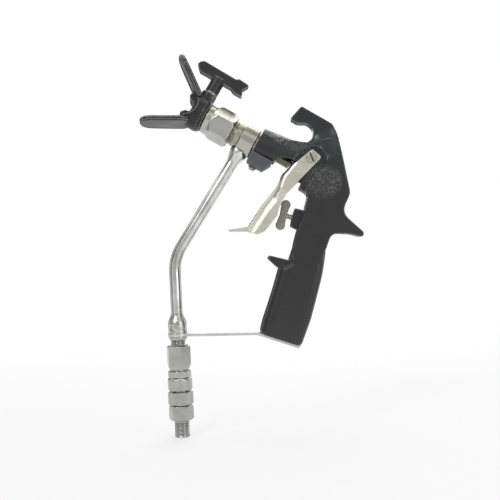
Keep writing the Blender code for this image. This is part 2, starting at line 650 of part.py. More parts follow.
def tube_frame():
    """Frame on the needle's line where the tube's line meets it, with -Z down the tube."""
    x, z = on_line(TUBE_PORT)
    return Matrix.Translation((x, 0, z)) @ Matrix.Rotation(TUBE_LEAN, 4, "Y")


def tube_route(top, bottom):
    """The tube's line from a depth below the needle's line to a height, round its one bend."""
    x, z = on_line(TUBE_PORT)
    down = Vector((-math.sin(TUBE_LEAN), -math.cos(TUBE_LEAN)))
    start = Vector((x, z))
    corner = start + down * ((x - TUBE_X) / math.sin(TUBE_LEAN))
    reach = TUBE_BEND_RADIUS * math.tan(TUBE_LEAN / 2)
    centre = Vector((TUBE_X + TUBE_BEND_RADIUS, corner.y - reach))
    bend = arc(centre.x, centre.y, TUBE_BEND_RADIUS, 180 - math.degrees(TUBE_LEAN), 180, 7)
    line = [start + down * top, *bend, Vector((TUBE_X, bottom))]
    return [(p.x, 0, p.y) for p in line]


def fluid_tube():
    bottom = FITTING_TOP - SOCKET_DEPTH + GAP
    tube = pipe("fluid_tube", tube_route(TUBE_TOP_DEPTH, bottom), TUBE_RADIUS, CHROME)
    inner = pipe("tube_bore", tube_route(TUBE_TOP_DEPTH - 2 * MM, bottom - 2 * MM), TUBE_RADIUS - TUBE_WALL, CHROME)
    return cut(tube, inner)


def tube_ferrule():
    """Brazed flare that carries the tube into the housing."""
    bore = TUBE_RADIUS + GAP
    profile = ((bore, -8 * MM), (FERRULE_RADIUS + 0.6 * MM, -8 * MM), (FERRULE_RADIUS, -15.5 * MM),
               (6.3 * MM, -19.5 * MM), (TUBE_RADIUS + 0.6 * MM, -FERRULE_END_DEPTH), (bore, -FERRULE_END_DEPTH))
    ferrule = turned("tube_ferrule", profile, NICKEL, tube_frame(), MEDIUM_ROUND)
    room = rod("room", HOUSING_RADIUS + GAP, 0, BARREL_FRONT + 20 * MM, NICKEL, BARREL, ROUND)
    return cut(ferrule, room)


def tube_fitting():
    """Upset end brazed on the tube, with the straight pipe thread for the coupling nut."""
    socket = TUBE_RADIUS + GAP
    socket_end = FITTING_TOP - SOCKET_DEPTH
    shoulder = STRIP_TOP + GAP
    end = COUPLING_TOP - 11.4 * MM
    thread = PIPE_THREAD_RADIUS
    profile = ((socket, FITTING_TOP), (socket + 0.5 * MM, FITTING_TOP), (FITTING_RADIUS, FITTING_SHOULDER),
               (FITTING_RADIUS, shoulder), (thread, shoulder), (thread, end + 0.7 * MM), (thread - 0.7 * MM, end),
               (FLUID_BORE, end), (FLUID_BORE, socket_end), (socket, socket_end))
    return turned("tube_fitting", profile, NICKEL, STACK, MEDIUM_ROUND)


# Guard strip


def guard_strip():
    """Flat bar from an eye on the tube's fitting to the heel of the grip."""
    lean = GRIP_LEAN
    along_base = Vector((math.cos(lean), -math.sin(lean)))
    base = Vector(GRIP_BASE)
    below = Vector((-math.sin(lean), -math.cos(lean))) * GAP
    bend = base + below + along_base * ((STRIP_BEND_X - base.x) / along_base.x)
    end = base + below + along_base * (GRIP_SECTIONS[0][2] * MM - STRIP_END_INSET)
    start = Vector((TUBE_X, STRIP_TOP))
    level = (bend - start).normalized()
    drop_level = Vector((level.y, -level.x)) * STRIP_THICKNESS
    drop_base = Vector((-math.sin(lean), -math.cos(lean))) * STRIP_THICKNESS
    corner = bend + (drop_level + drop_base) / 2
    eye_end = start + level * (STRIP_EYE_RADIUS * 0.4)
    outline = (eye_end, bend, end, end + drop_base, corner, eye_end + drop_level)
    strip = prism("guard_strip", outline, STRIP_HALF_WIDTH, STEEL)
    eye = rod("eye", STRIP_EYE_RADIUS, STRIP_TOP - STRIP_THICKNESS - GAP, STRIP_TOP, STEEL, STACK, ROUND)
    join(strip, eye)
    cut(strip, rod("eye_hole", PIPE_THREAD_RADIUS + GAP, STRIP_TOP - 8 * MM, STRIP_TOP + 4 * MM, STEEL, STACK, MEDIUM_ROUND))
    screw = GRIP @ Matrix.Translation((STRIP_SCREW_OFFSET, 0, 0))
    return cut(strip, rod("hole", STRIP_SCREW_RADIUS + GAP, -8 * MM, 4 * MM, STEEL, screw))


def strip_ring():
    """Ring nut that holds the strip's eye against the fitting's shoulder."""
    top = STRIP_TOP - STRIP_THICKNESS - 2 * GAP
    outline = ((8.0 * MM, top), (8.0 * MM, top - 1.0 * MM), (7.5 * MM, top - RING_LENGTH))
    return turned("strip_ring", ring(outline, PIPE_THREAD_RADIUS + GAP), NICKEL, STACK, SMALL_ROUND)


def strip_screw():
    """Pan head screw through the strip into the heel of the grip."""
    seat = -GAP - STRIP_THICKNESS - GAP
    head = seat - 2.2 * MM
    place = GRIP @ Matrix.Translation((STRIP_SCREW_OFFSET, 0, 0))
    profile = ((0, head), (STRIP_SCREW_HEAD - 1.0 * MM, head), (STRIP_SCREW_HEAD, head + 1.0 * MM),
               (STRIP_SCREW_HEAD, seat), (STRIP_SCREW_RADIUS, seat), (STRIP_SCREW_RADIUS, STRIP_SCREW_DEPTH), (0, STRIP_SCREW_DEPTH))
    screw = turned("strip_screw", profile, STEEL, place, SMALL_ROUND)
    slot = prism("drive", ((-3 * MM, head - MM), (3 * MM, head - MM), (3 * MM, head + 1.1 * MM), (-3 * MM, head + 1.1 * MM)),
                 0.5 * MM, STEEL, place)
    return cut(screw, slot)


# Coupling and swivel


def stack_heights():
    """Heights of the joints between the swivel's pieces."""
    nut_end = COUPLING_TOP - COUPLING_LENGTH
    collar_top = nut_end - COLLAR_GAP
    sleeve_top = collar_top - COLLAR_LENGTH - GAP
    body_top = sleeve_top - SLEEVE_LENGTH - GAP
    nipple_top = body_top - BODY_HEX_LENGTH - GAP
    return nut_end, collar_top, sleeve_top, body_top, nipple_top


def coupling_nut():
    nut_end = stack_heights()[0]
    nut = hex_bar("coupling_nut", SWIVEL_FLATS, nut_end, COUPLING_TOP, NICKEL, STACK, math.radians(8))
    wide = PIPE_THREAD_RADIUS + GAP
    throat = STEM_RADIUS + GAP
    hollow = ((0, COUPLING_TOP + MM), (wide, COUPLING_TOP + MM), (wide, nut_end + 3.4 * MM), (throat, nut_end + 3.4 * MM),
              (throat, nut_end - MM), (0, nut_end - MM))
    return cut(nut, turned("hollow", hollow, NICKEL, STACK, MEDIUM_ROUND))


def coupling_seal():
    top = COUPLING_TOP - 11.4 * MM - GAP
    radius = PIPE_THREAD_RADIUS - GAP
    profile = ((FLUID_BORE, top), (radius, top), (radius, top - 1.8 * MM), (FLUID_BORE, top - 1.8 * MM))
    return turned("coupling_seal", profile, SEAL, STACK, SMALL_SIDES)


def swivel_stem():
    """Hollow spindle: its head is held by the coupling nut and its lower flange by the turning sleeve."""
    nut_end, collar_top, sleeve_top, _, _ = stack_heights()
    head_top = COUPLING_TOP - 11.4 * MM - 1.8 * MM - 2 * GAP
    head_end = nut_end + 3.4 * MM + GAP
    collar_end = collar_top - COLLAR_LENGTH
    neck = STEM_RADIUS - 1.0 * MM
    flange_top = sleeve_top - 3.0 * MM - GAP
    bore = FLUID_BORE - 0.5 * MM
    flange = PIPE_THREAD_RADIUS - GAP
    profile = ((bore, head_top), (flange, head_top), (flange, head_end), (STEM_RADIUS, head_end),
               (STEM_RADIUS, collar_top), (COLLAR_RADIUS, collar_top), (COLLAR_RADIUS, collar_end), (neck, collar_end),
               (neck, flange_top), (flange, flange_top), (flange, flange_top - 2.8 * MM), (bore, flange_top - 2.8 * MM))
    stem = turned("swivel_stem", profile, NICKEL, STACK, MEDIUM_ROUND)
    facets = hex_bar("facets", 2 * COLLAR_RADIUS * 0.93, flange_top - 9 * MM, head_top + 9 * MM, NICKEL, STACK,
                     math.radians(14), False, False)
    return boolean(stem, facets, "INTERSECT")


def swivel_sleeve():
    """Round cap that carries the lower half of the swivel on the stem's flange."""
    _, _, top, _, _ = stack_heights()
    end = top - SLEEVE_LENGTH
    edge = 1.3 * MM
    radius = SLEEVE_RADIUS
    opening = STEM_RADIUS - 1.0 * MM + GAP
    inner = PIPE_THREAD_RADIUS + GAP
    profile = ((opening, top), (radius - edge, top), (radius - 0.35 * edge, top - 0.35 * edge), (radius, top - edge),
               (radius, end + edge), (radius - 0.35 * edge, end + 0.35 * edge), (radius - edge, end), (inner, end),
               (inner, top - 3.0 * MM), (opening, top - 3.0 * MM))
    return turned("swivel_sleeve", profile, NICKEL, STACK)


def swivel_seal():
    top = stack_heights()[2] - 3.0 * MM - 2 * GAP - 2.8 * MM
    radius = PIPE_THREAD_RADIUS - GAP
    profile = ((FLUID_BORE, top), (radius, top), (radius, top - 2.2 * MM), (FLUID_BORE, top - 2.2 * MM))
    return turned("swivel_seal", profile, SEAL, STACK, SMALL_SIDES)


def swivel_body():
    """Hexagonal block under the sleeve, with a neck up to the seal and a socket for the nipple."""
    _, _, sleeve_top, top, nipple_top = stack_heights()
    end = nipple_top + GAP
    body = hex_bar("swivel_body", SWIVEL_FLATS, end, top, NICKEL, STACK, math.radians(90))
    neck_top = sleeve_top - 3.0 * MM - 3 * GAP - 5.0 * MM
    join(body, rod("neck", PIPE_THREAD_RADIUS, top - MM, neck_top, NICKEL, STACK, MEDIUM_ROUND))
    hollow = ((0, neck_top + MM), (FLUID_BORE, neck_top + MM), (FLUID_BORE, end + 4.8 * MM),
              (STEM_RADIUS - 0.3 * MM, end + 4.8 * MM), (STEM_RADIUS - 0.3 * MM, end - MM), (0, end - MM))
    return cut(body, turned("hollow", hollow, NICKEL, STACK, SMALL_ROUND))


def inlet_nipple():
    """Hexagon and male pipe thread that the hose screws onto."""
    top = stack_heights()[4]
    hex_end = top - NIPPLE_HEX_LENGTH
    end = hex_end - NIPPLE_NECK - NIPPLE_THREAD_LENGTH
    nipple = hex_bar("inlet_nipple", SWIVEL_FLATS, hex_end, top, NICKEL, STACK, 0.0)
    radius = PIPE_THREAD_RADIUS
    tail = ((0, hex_end + MM), (radius - 0.7 * MM, hex_end + MM), (radius - 0.7 * MM, hex_end - NIPPLE_NECK),
            (radius, hex_end - NIPPLE_NECK), (radius, end + 0.9 * MM), (radius - 0.9 * MM, end), (0, end))
    join(nipple, turned("tail", tail, NICKEL, STACK, MEDIUM_ROUND))
    join(nipple, rod("spigot", STEM_RADIUS - 0.3 * MM - GAP, top - MM, top + 4.2 * MM, NICKEL, STACK))
    return cut(nipple, rod("bore", FLUID_BORE, end - MM, top + 6 * MM, NICKEL, STACK))


# Casting

BODY_OUTLINE = (
    (-6.0, 112.0, 0), (-3.0, 125.0, 4), (8.0, 122.2, 8), (16.0, 121.0, 6), (33.0, 124.5, 10), (41.6, 122.0, 3),
    (42.9, 113.0, 40), (48.9, 76.0, 9), (40.6, 60.0, 10), (58.9, 42.0, 2.2), (57.8, 38.0, 1.6), (47.0, 41.2, 12),
    (31.0, 42.4, 7), (26.0, 30.0, 10), (20.0, 16.0, 0), (-2.0, 14.0, 0), (-4.2, 24.0, 6), (-0.8, 38.0, 20),
    (2.4, 48.0, 0), (8.6, 62.0, 4), (12.8, 77.0, 3), (4.8, 82.2, 2.0), (9.4, 91.0, 5), (14.4, 97.8, 4),
    (3.8, 106.8, 3), (-7.0, 109.6, 6),
)
HOOK_TOP = (
    (5.4, 139.8, 1.5), (0.2, 142.6, 1.6), (10.6, 153.2, 1.5), (36.6, 136.6, 7), (41.2, 127.0, 20), (43.0, 112.0, 0),
    (14.0, 112.0, 0),
)
THROAT = (11.5, 130.0, 8.5)
RIB = ((-17.0, 15.4, 2), (-25.0, 23.4, 1.6), (-23.2, 26.2, 1.4), (-4.0, 20.6, 2), (4.0, 16.0, 0), (-2.0, 10.0, 0))
BOSS = ((1.0, 65.9, 1.0), (-2.4, 57.0, 3), (-3.8, 50.0, 1.0), (2.0, 46.8, 2), (16.0, 46.8, 0), (16.0, 63.0, 0), (8.6, 63.4, 1.5))
UNDERSIDE = (
    (40.0, -6.7), (70.6, -6.7), (71.2, -2.4), (77.0, 1.4), (84.0, 3.8), (88.0, 4.4), (96.0, 1.0), (96.0, -40.0),
    (40.0, -40.0),
)
RECESS = ((11.0, 115.2, 2), (1.0, 106.4, 3), (-9.0, 98.0, 0), (-9.0, 70.0, 0), (3.5, 70.0, 0), (10.5, 81.0, 3),
          (20.0, 96.0, 2), (26.0, 106.0, 0))
RECESS_ARC = (18.2, 106.3, 11.4)


def hook_outline():
    """The hanging hook: its throat is an arc from the barrel's top round to the nose."""
    x, z, radius = THROAT
    throat = arc(x * MM, z * MM, radius * MM, -75, 100, 10)
    nose = rounded(HOOK_TOP)
    return [*throat, *nose]


def grip_ring(height, front, back, half):
    """A section of the grip in GRIP space: flat sides, broadly rounded in front and less behind."""
    corners = ((front, -half, GRIP_FRONT_FILLET), (back, -half, GRIP_BACK_FILLET), (back, half, GRIP_BACK_FILLET),
               (front, half, GRIP_FRONT_FILLET))
    return [(x, y, height * MM) for x, y in rounded(corners)]


def grip():
    skin = loft("grip", [grip_ring(*section) for section in GRIP_SECTIONS], BLACK_PAINT, GRIP)
    screw = GRIP @ Matrix.Translation((STRIP_SCREW_OFFSET, 0, 0))
    hole = rod("screw_hole", STRIP_SCREW_RADIUS + GAP, -4 * MM, STRIP_SCREW_DEPTH + GAP, BLACK_PAINT, screw, 12)
    return cut(skin, hole)


def barrel_ring(distance, centre, height, width):
    angles = [2 * math.pi * k / ROUND for k in range(ROUND)]
    return [(distance * MM, width * MM * math.cos(a), (centre + height * math.sin(a)) * MM) for a in angles]


def handle_body():
    """One casting: barrel, hanging hook, lock boss, finger rest, tail over the hand and the grip."""
    body = prism("handle_body", rounded(BODY_OUTLINE), BODY_HALF_WIDTH, BLACK_PAINT, bevel=4.6 * MM, segments=2)
    join(body, prism("hook", hook_outline(), HOOK_HALF_WIDTH, BLACK_PAINT, bevel=1.8 * MM))
    join(body, loft("barrel", [barrel_ring(*section) for section in BARREL_SECTIONS], BLACK_PAINT, NOZZLE))
    join(body, grip())
    join(body, prism("rib", rounded(RIB), BODY_HALF_WIDTH * 0.86, BLACK_PAINT, bevel=1.2 * MM))
    cut(body, prism("underside", [(x * MM, z * MM) for x, z in UNDERSIDE], 30 * MM, BLACK_PAINT, NOZZLE))
    recess_body(body)
    join(body, prism("boss", rounded(BOSS), BOSS_HALF_WIDTH, BLACK_PAINT, bevel=0.8 * MM))
    bore_body(body)
    return body


def recess_body(body):
    """Thins the casting on both sides where the trigger's plates lie."""
    x, z, radius = RECESS_ARC
    circle = arc(x * MM, z * MM, radius * MM, 4, 349, 19)
    depth = 10 * MM
    for side in (-1, 1):
        place = Matrix.Translation((0, side * (YOKE_HALF_WIDTH + depth), 0))
        room = prism("recess", rounded(RECESS), depth, BLACK_PAINT, place)
        around = Matrix.Translation((0, side * 0.7 * MM, 0)) @ place
        join(room, prism("recess_arc", circle, depth + 0.7 * MM, BLACK_PAINT, around))
        cut(body, room)


def bore_body(body):
    """Bores for the fluid housing, the packing nut, the needle's nuts, the pivot bolt and the lock pin."""
    spigot = SPIGOT_RADIUS + GAP
    hole = PACKING_NUT_RADIUS + GAP
    bore = ((0, BARREL_FRONT - 5 * MM), (spigot, BARREL_FRONT - 5 * MM), (spigot, SPIGOT_END + GAP),
            (hole, SPIGOT_END + GAP), (hole, PACKING_NUT_STEP + 2 * MM), (0, PACKING_NUT_STEP + 2 * MM))
    cut(body, turned("spigot_bore", bore, BLACK_PAINT, BARREL))
    room = PULL_NUT_FLATS / 2 + 2.2 * MM
    far = (NEEDLE_END + 5.0 * MM) / MM
    slot = rounded(((PACKING_NUT_STEP / MM, -30, 0), (PACKING_NUT_STEP / MM, room / MM, 1.5), (far, room / MM, 1.5),
                    (far, -30, 0)))
    cut(body, prism("needle_room", slot, room, BLACK_PAINT, NOZZLE))
    pivot = Matrix.Translation((PIVOT_X, 0, PIVOT_Z)) @ ACROSS
    cut(body, rod("pivot_hole", PIVOT_BOLT_RADIUS + GAP, -30 * MM, 30 * MM, BLACK_PAINT, pivot))
    cut(body, rod("lock_hole", LOCK_PIN_RADIUS + GAP, 0, LOCK_PIN_LENGTH + GAP, BLACK_PAINT, along(lock_frame())))


BLOCK = ((49.3, -7.0, 0.5), (70.4, -7.0, 1.5), (64.8, -18.6, 2), (49.3, -17.4, 1.5))


def clamp_block():
    """Cap under the barrel that clamps the housing's spigot."""
    block = prism("clamp_block", rounded(BLOCK), 20 * MM, BLOCK_METAL, NOZZLE)
    front = BARREL_FRONT - 5 * MM
    end = PACKING_NUT_STEP + 5 * MM
    outer = turned("outer", ((0, front), (17.6 * MM, front), (19.0 * MM, end), (0, end)), BLOCK_METAL, BARREL)
    boolean(block, outer, "INTERSECT")
    lug = NOZZLE @ Matrix.Translation((56.2 * MM, 0, 0))
    join(block, turned("lug", ((0, -19.4 * MM), (3.4 * MM, -19.4 * MM), (4.4 * MM, -16 * MM), (0, -16 * MM)),
                       BLOCK_METAL, lug, SMALL_ROUND))
    spigot = SPIGOT_RADIUS + GAP
    hole = PACKING_NUT_RADIUS + GAP
    bore = ((0, front), (spigot, front), (spigot, SPIGOT_END + GAP), (hole, SPIGOT_END + GAP), (hole, end), (0, end))
    cut(block, turned("bore", bore, BLOCK_METAL, BARREL))
    return cut(block, rod("screw_hole", 2.6 * MM + GAP, -30 * MM, 0, BLOCK_METAL, lug))


def clamp_screw():
    """Socket set screw through the block onto the housing's spigot."""
    top = -SPIGOT_RADIUS - GAP
    end = -21.0 * MM
    place = NOZZLE @ Matrix.Translation((56.2 * MM, 0, 0))
    screw = turned("clamp_screw", ((0, end), (2.1 * MM, end), (2.6 * MM, end + 0.5 * MM), (2.6 * MM, top), (0, top)),
                   STEEL, place, SMALL_ROUND)
    socket = hex_bar("socket", 2.5 * MM, end - MM, end + 2.2 * MM, STEEL, place, sides=SMALL_SIDES)
    return cut(screw, socket)


# Trigger

TRIGGER_LEFT = ((12.4, 112.1, 3), (3.7, 104.5, 1))
TRIGGER_FRONT = (
    (2.0, 106.4, 0), (-3.6, 100.2, 4), (-9.2, 95.0, 8), (-13.4, 85.6, 12), (-27.2, 70.1, 60), (-42.2, 49.6, 4),
)
TRIGGER_LIP = ((-56.8, 50.0, 0.6), (-57.2, 48.2, 0.6), (-41.0, 47.6, 3))
TRIGGER_BACK = (
    (-32.0, 44.6, 4), (-25.4, 47.4, 3), (-14.6, 60.0, 4), (-13.0, 66.0, 3), (-5.4, 79.1, 6), (7.3, 91.0, 0),
    (20.6, 102.0, 2),
)


def offset(line, distance):
    """An open (x, z, radius) line moved to its right by a distance in millimetres."""
    points = [Vector(p[:2]) for p in line]
    moved = []
    for i, here in enumerate(points):
        before = (here - points[i - 1]).normalized() if i else (points[1] - here).normalized()
        after = (points[i + 1] - here).normalized() if i + 1 < len(points) else before
        middle = (before + after).normalized()
        side = Vector((-middle.y, middle.x))
        reach = distance / max(0.5, middle.dot(before))
        moved.append((*(here + side * reach), line[i][2]))
    return moved


def trigger_space():
    return Matrix.Translation((PIVOT_X, 0, PIVOT_Z))


def trigger():
    """Folded sheet: two side plates that straddle the casting, joined by the wall that the fingers pull."""
    pivot = trigger_space()
    sheet = TRIGGER_SHEET / MM
    outline = rounded((*TRIGGER_LEFT, *TRIGGER_FRONT, *TRIGGER_LIP, *TRIGGER_BACK))
    side = prism("trigger", outline, TRIGGER_HALF_WIDTH, NICKEL)
    join(side, rod("eye", TRIGGER_EYE_RADIUS, -TRIGGER_HALF_WIDTH, TRIGGER_HALF_WIDTH, NICKEL, pivot @ ACROSS, 28))
    inner = offset(TRIGGER_FRONT, sheet)
    top = (inner[0][0] + 2.0, inner[0][1] + 4.0, 0)
    hollow = rounded((*inner[:-1], (inner[-1][0] + 1.4, inner[-1][1] + 0.4, 2), (-38.0, 40.0, 0), (40.0, 40.0, 0),
                      (40.0, 125.0, 0), (8.0, 125.0, 0), top))
    cut(side, prism("hollow", hollow, TRIGGER_HALF_WIDTH - TRIGGER_SHEET, NICKEL))
    slot = NEEDLE_REAR_RADIUS + 0.9 * MM
    room = rounded(((78, -slot / MM, slot / MM), (92, -slot / MM, slot / MM), (92, 9, 0), (78, 9, 0)))
    cut(side, prism("needle_slot", room, slot, NICKEL, NOZZLE))
    cut(side, rod("pivot_hole", PIVOT_BOLT_RADIUS + GAP, -20 * MM, 20 * MM, NICKEL, pivot @ ACROSS))
    return move_origin(side, pivot)


def move_origin(obj, place):
    """Puts the object's origin at place and leaves its shape where it is."""
    obj.data.transform(place.inverted() @ obj.matrix_world)
    obj.matrix_world = place
    return obj


def pivot_bolt():
    """Shouldered bolt through both plates and the casting."""
    seat = TRIGGER_HALF_WIDTH + GAP
    head = seat + PIVOT_HEAD_HEIGHT
    nut = TRIGGER_HALF_WIDTH + 2 * GAP + 3.2 * MM
    profile = ((0, head), (PIVOT_HEAD_RADIUS - 0.7 * MM, head), (PIVOT_HEAD_RADIUS, head - 0.7 * MM),
               (PIVOT_HEAD_RADIUS, seat), (PIVOT_BOLT_RADIUS, seat), (PIVOT_BOLT_RADIUS, -nut), (0, -nut))
    place = trigger_space() @ ACROSS
    bolt = turned("pivot_bolt", profile, NICKEL, place, MEDIUM_ROUND)
    slot = ((-0.6 * MM, head - 0.8 * MM), (0.6 * MM, head - 0.8 * MM), (0.6 * MM, head + MM), (-0.6 * MM, head + MM))
    return cut(bolt, prism("drive", slot, 8 * MM, NICKEL, place @ Matrix.Rotation(math.radians(20), 4, "Z")))


def pivot_nut():
    near = TRIGGER_HALF_WIDTH + GAP
    place = trigger_space() @ ACROSS
    nut = hex_bar("pivot_nut", PIVOT_NUT_FLATS, -near - 3.0 * MM, -near, NICKEL, place, sides=SMALL_SIDES)
    return cut(nut, rod("thread", PIVOT_BOLT_RADIUS + GAP, -near - 5 * MM, 0, NICKEL, place, SMALL_SIDES))


# Lock


def lock_frame():
    """Origin at the lever's middle, X along the pin into the boss, Z up the lever."""
    return Matrix.Translation((LOCK_X, 0, LOCK_Z)) @ Matrix.Rotation(LOCK_PITCH, 4, "Y")


def lock_lever():
    """Flat lever with two round lobes and a waist."""
    lobe = LOCK_LOBE_OFFSET
    radius = LOCK_LOBE_RADIUS
    outline = [*arc(0, lobe, radius, -25, 205, 12), (-LOCK_WAIST, 0), *arc(0, -lobe, radius, 155, 385, 12), (LOCK_WAIST, 0)]
    lever = prism("lock_lever", outline, LOCK_THICKNESS / 2, LOCK_METAL, lock_frame(), 0.5 * MM, 1)
    return lever


def lock_pin():
    start = LOCK_WAIST + GAP
    profile = ((0, start), (LOCK_PIN_RADIUS, start), (LOCK_PIN_RADIUS, LOCK_PIN_LENGTH), (0, LOCK_PIN_LENGTH))
    return turned("lock_pin", profile, STEEL, along(lock_frame()), SMALL_ROUND)


def main():
    for obj in list(bpy.data.objects):
        bpy.data.objects.remove(obj)
    retaining_nut()
    tip_guard()
    tip_pieces()
    tip_seals()
    diffuser()
    valve_seat()
    needle()
    needle_nuts()
    needle_spring()
    fluid_housing()
    packing()
    packing_nut()
    fluid_tube()
    tube_ferrule()
    tube_fitting()
    guard_strip()
    strip_ring()
    strip_screw()
    coupling_nut()
    coupling_seal()
    swivel_stem()
    swivel_sleeve()
    swivel_seal()
    swivel_body()
    inlet_nipple()
    handle_body()
    clamp_block()
    clamp_screw()
    trigger()
    pivot_bolt()
    pivot_nut()
    lock_lever()
    lock_pin()


main()
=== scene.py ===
"""Looks of a hand-held airless paint sprayer gun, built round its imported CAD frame.

Row frame, metres: +Z up along the hose swivel, -X the way the gun sprays, +Y across the gun. Turned and
threaded pieces are surfaces of revolution worked out on grids; cast, moulded and folded pieces are soft skins
over their CAD solids. Every finish is procedural and reads Object coordinates or a piece's own attribute.
"""

import logging
import math
from dataclasses import dataclass
from enum import Enum

import bpy
import numpy as np
from mathutils import Matrix, Vector

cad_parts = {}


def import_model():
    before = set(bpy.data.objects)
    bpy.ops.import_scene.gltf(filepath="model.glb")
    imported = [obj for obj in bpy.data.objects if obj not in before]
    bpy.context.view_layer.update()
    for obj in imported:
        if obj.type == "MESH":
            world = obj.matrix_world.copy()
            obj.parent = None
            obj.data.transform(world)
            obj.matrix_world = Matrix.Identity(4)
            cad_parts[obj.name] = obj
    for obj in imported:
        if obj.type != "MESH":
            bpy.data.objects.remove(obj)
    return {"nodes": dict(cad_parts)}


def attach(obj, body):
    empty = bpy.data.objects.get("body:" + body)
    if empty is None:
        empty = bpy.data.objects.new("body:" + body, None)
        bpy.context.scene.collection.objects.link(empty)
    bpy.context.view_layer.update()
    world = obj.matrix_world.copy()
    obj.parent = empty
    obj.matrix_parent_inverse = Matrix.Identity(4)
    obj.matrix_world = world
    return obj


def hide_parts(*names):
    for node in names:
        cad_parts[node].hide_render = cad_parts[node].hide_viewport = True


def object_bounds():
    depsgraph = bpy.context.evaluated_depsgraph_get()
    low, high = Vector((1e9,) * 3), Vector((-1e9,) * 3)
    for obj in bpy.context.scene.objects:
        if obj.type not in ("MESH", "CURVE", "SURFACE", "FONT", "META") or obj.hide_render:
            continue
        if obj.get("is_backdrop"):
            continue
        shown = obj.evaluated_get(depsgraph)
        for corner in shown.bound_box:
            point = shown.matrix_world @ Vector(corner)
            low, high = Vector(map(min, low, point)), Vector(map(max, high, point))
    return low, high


LOG = logging.getLogger("sprayer")
MM = 0.001
TAU = 2 * math.pi
ACROSS = (0.0, 1.0, 0.0)
WELD = 1e-5  # metres within which the corners of a CAD node's triangles join
THREAD_MATCH = 0.05  # millimetres off a thread's radius within which a profile is cut by it
ROWS_A_PITCH = 10
VEE_DEPTH = 1.25  # depth of a thread's whole vee, of which the bottom is cut flat at 1
PIPE_PITCH, PIPE_DEPTH = 1.41, 0.62
FILLET_SHARE = 0.45  # share of a side that the fillet at each of its ends may take
LATTICE_SHARE = 0.99  # share of a remesh's lattice that a piece may fill
MILLED_BLEND = 0.12  # width in millimetres of the rounding where flats cut a turned profile

Object, Mesh, Material = bpy.types.Object, bpy.types.Mesh, bpy.types.Material
Socket = bpy.types.NodeSocket
Entry = Socket | float | tuple[float, ...]  # what an input of a node takes: a link or a constant
Spot = tuple[float, float, float]
Rgb = tuple[float, float, float]
Corner = tuple[float, float, float]  # radius, height and fillet, in millimetres


# Places


@dataclass(frozen=True)
class Place:
    """Where a piece's own axes lie in the row frame. Lengths are in millimetres.

    Attributes:
        origin: Point of the row frame where the axes start.
        x: Direction of the piece's first axis.
        y: Direction of its second axis.
        z: Direction that its heights run in.
    """

    origin: Spot
    x: Spot = (1.0, 0.0, 0.0)
    y: Spot = (0.0, 1.0, 0.0)
    z: Spot = (0.0, 0.0, 1.0)

    def world(self, points: np.ndarray) -> np.ndarray:
        """Carries points from the piece's axes to the row frame.

        Args:
            points: Array of shape (..., 3) in millimetres.

        Returns:
            The same points in the row frame, in metres.
        """
        axes = np.array((self.x, self.y, self.z))
        return (points @ axes + np.array(self.origin)) * MM

    def moved(self, x: float = 0.0, y: float = 0.0, z: float = 0.0) -> "Place":
        """Returns the place shifted along its own axes, in millimetres."""
        shift = np.array((x, y, z)) @ np.array((self.x, self.y, self.z))
        return Place(tuple(np.array(self.origin) + shift), self.x, self.y, self.z)


def leaning(origin: Spot, pitch: float) -> Place:
    """A place whose z runs backwards in the gun's middle plane, down by a pitch in radians."""
    c, s = math.cos(pitch), math.sin(pitch)
    return Place(origin, (-s, 0.0, -c), ACROSS, (c, 0.0, -s))


PITCH = math.radians(31.7)  # slope of the needle's line
NOZZLE_POINT = (-72.3, 0.0, 148.3)
BARREL = leaning(NOZZLE_POINT, PITCH)
ALONG = BARREL.z  # backwards along the needle
RISE = (math.sin(PITCH), 0.0, math.cos(PITCH))  # out of the barrel's top
HEAD_ROLL = math.radians(-7)  # turn of the guard and the tip round the needle's line
HEAD_RISE = tuple(math.cos(HEAD_ROLL) * np.array(RISE) - math.sin(HEAD_ROLL) * np.array(ACROSS))
HEAD_SIDE = tuple(math.sin(HEAD_ROLL) * np.array(RISE) + math.cos(HEAD_ROLL) * np.array(ACROSS))
# HEAD and SIDE hold outlines as they are seen from the side, in the head's axes and in the row frame's.
HEAD = Place(NOZZLE_POINT, ALONG, HEAD_RISE, tuple(-value for value in HEAD_SIDE))
SIDE = Place((0.0, 0.0, 0.0), (1.0, 0.0, 0.0), (0.0, 0.0, 1.0), (0.0, -1.0, 0.0))
TIP_OFFSET = -6.6
TIP = HEAD.moved(x=TIP_OFFSET)
STEM = Place(NOZZLE_POINT, ALONG, HEAD_SIDE, HEAD_RISE).moved(x=TIP_OFFSET)
STACK = Place((-105.6, 0.0, 0.0))  # the hose's line
LOCK = leaning((-9.3, 0.0, 60.5), math.radians(18))
PIVOT = (16.95, 108.3)  # X and Z of the trigger's pivot
GRIP_PITCH = math.radians(20.4)
HEEL = Place((-16.9, 0.0, -46.8), (math.cos(GRIP_PITCH), 0.0, -math.sin(GRIP_PITCH)), ACROSS,
             (math.sin(GRIP_PITCH), 0.0, math.cos(GRIP_PITCH))).moved(x=11.0)


# Meshes


class Ends(Enum):
    """How a profile turned round an axis is closed."""

    LOOP = "loop"
    POLES = "poles"


def linked(name: str, data: bpy.types.ID) -> Object:
    """Makes an object of its data and links it to the scene."""
    made = bpy.data.objects.new(name, data)
    bpy.context.scene.collection.objects.link(made)
    return made


def flat_quad(name: str, corners: np.ndarray) -> Object:
    """Makes an object of one four-cornered face, with its corners in metres, shape (4, 3)."""
    mesh = bpy.data.meshes.new(name)
    mesh.from_pydata(corners.tolist(), [], [[0, 1, 2, 3]])
    return linked(name, mesh)


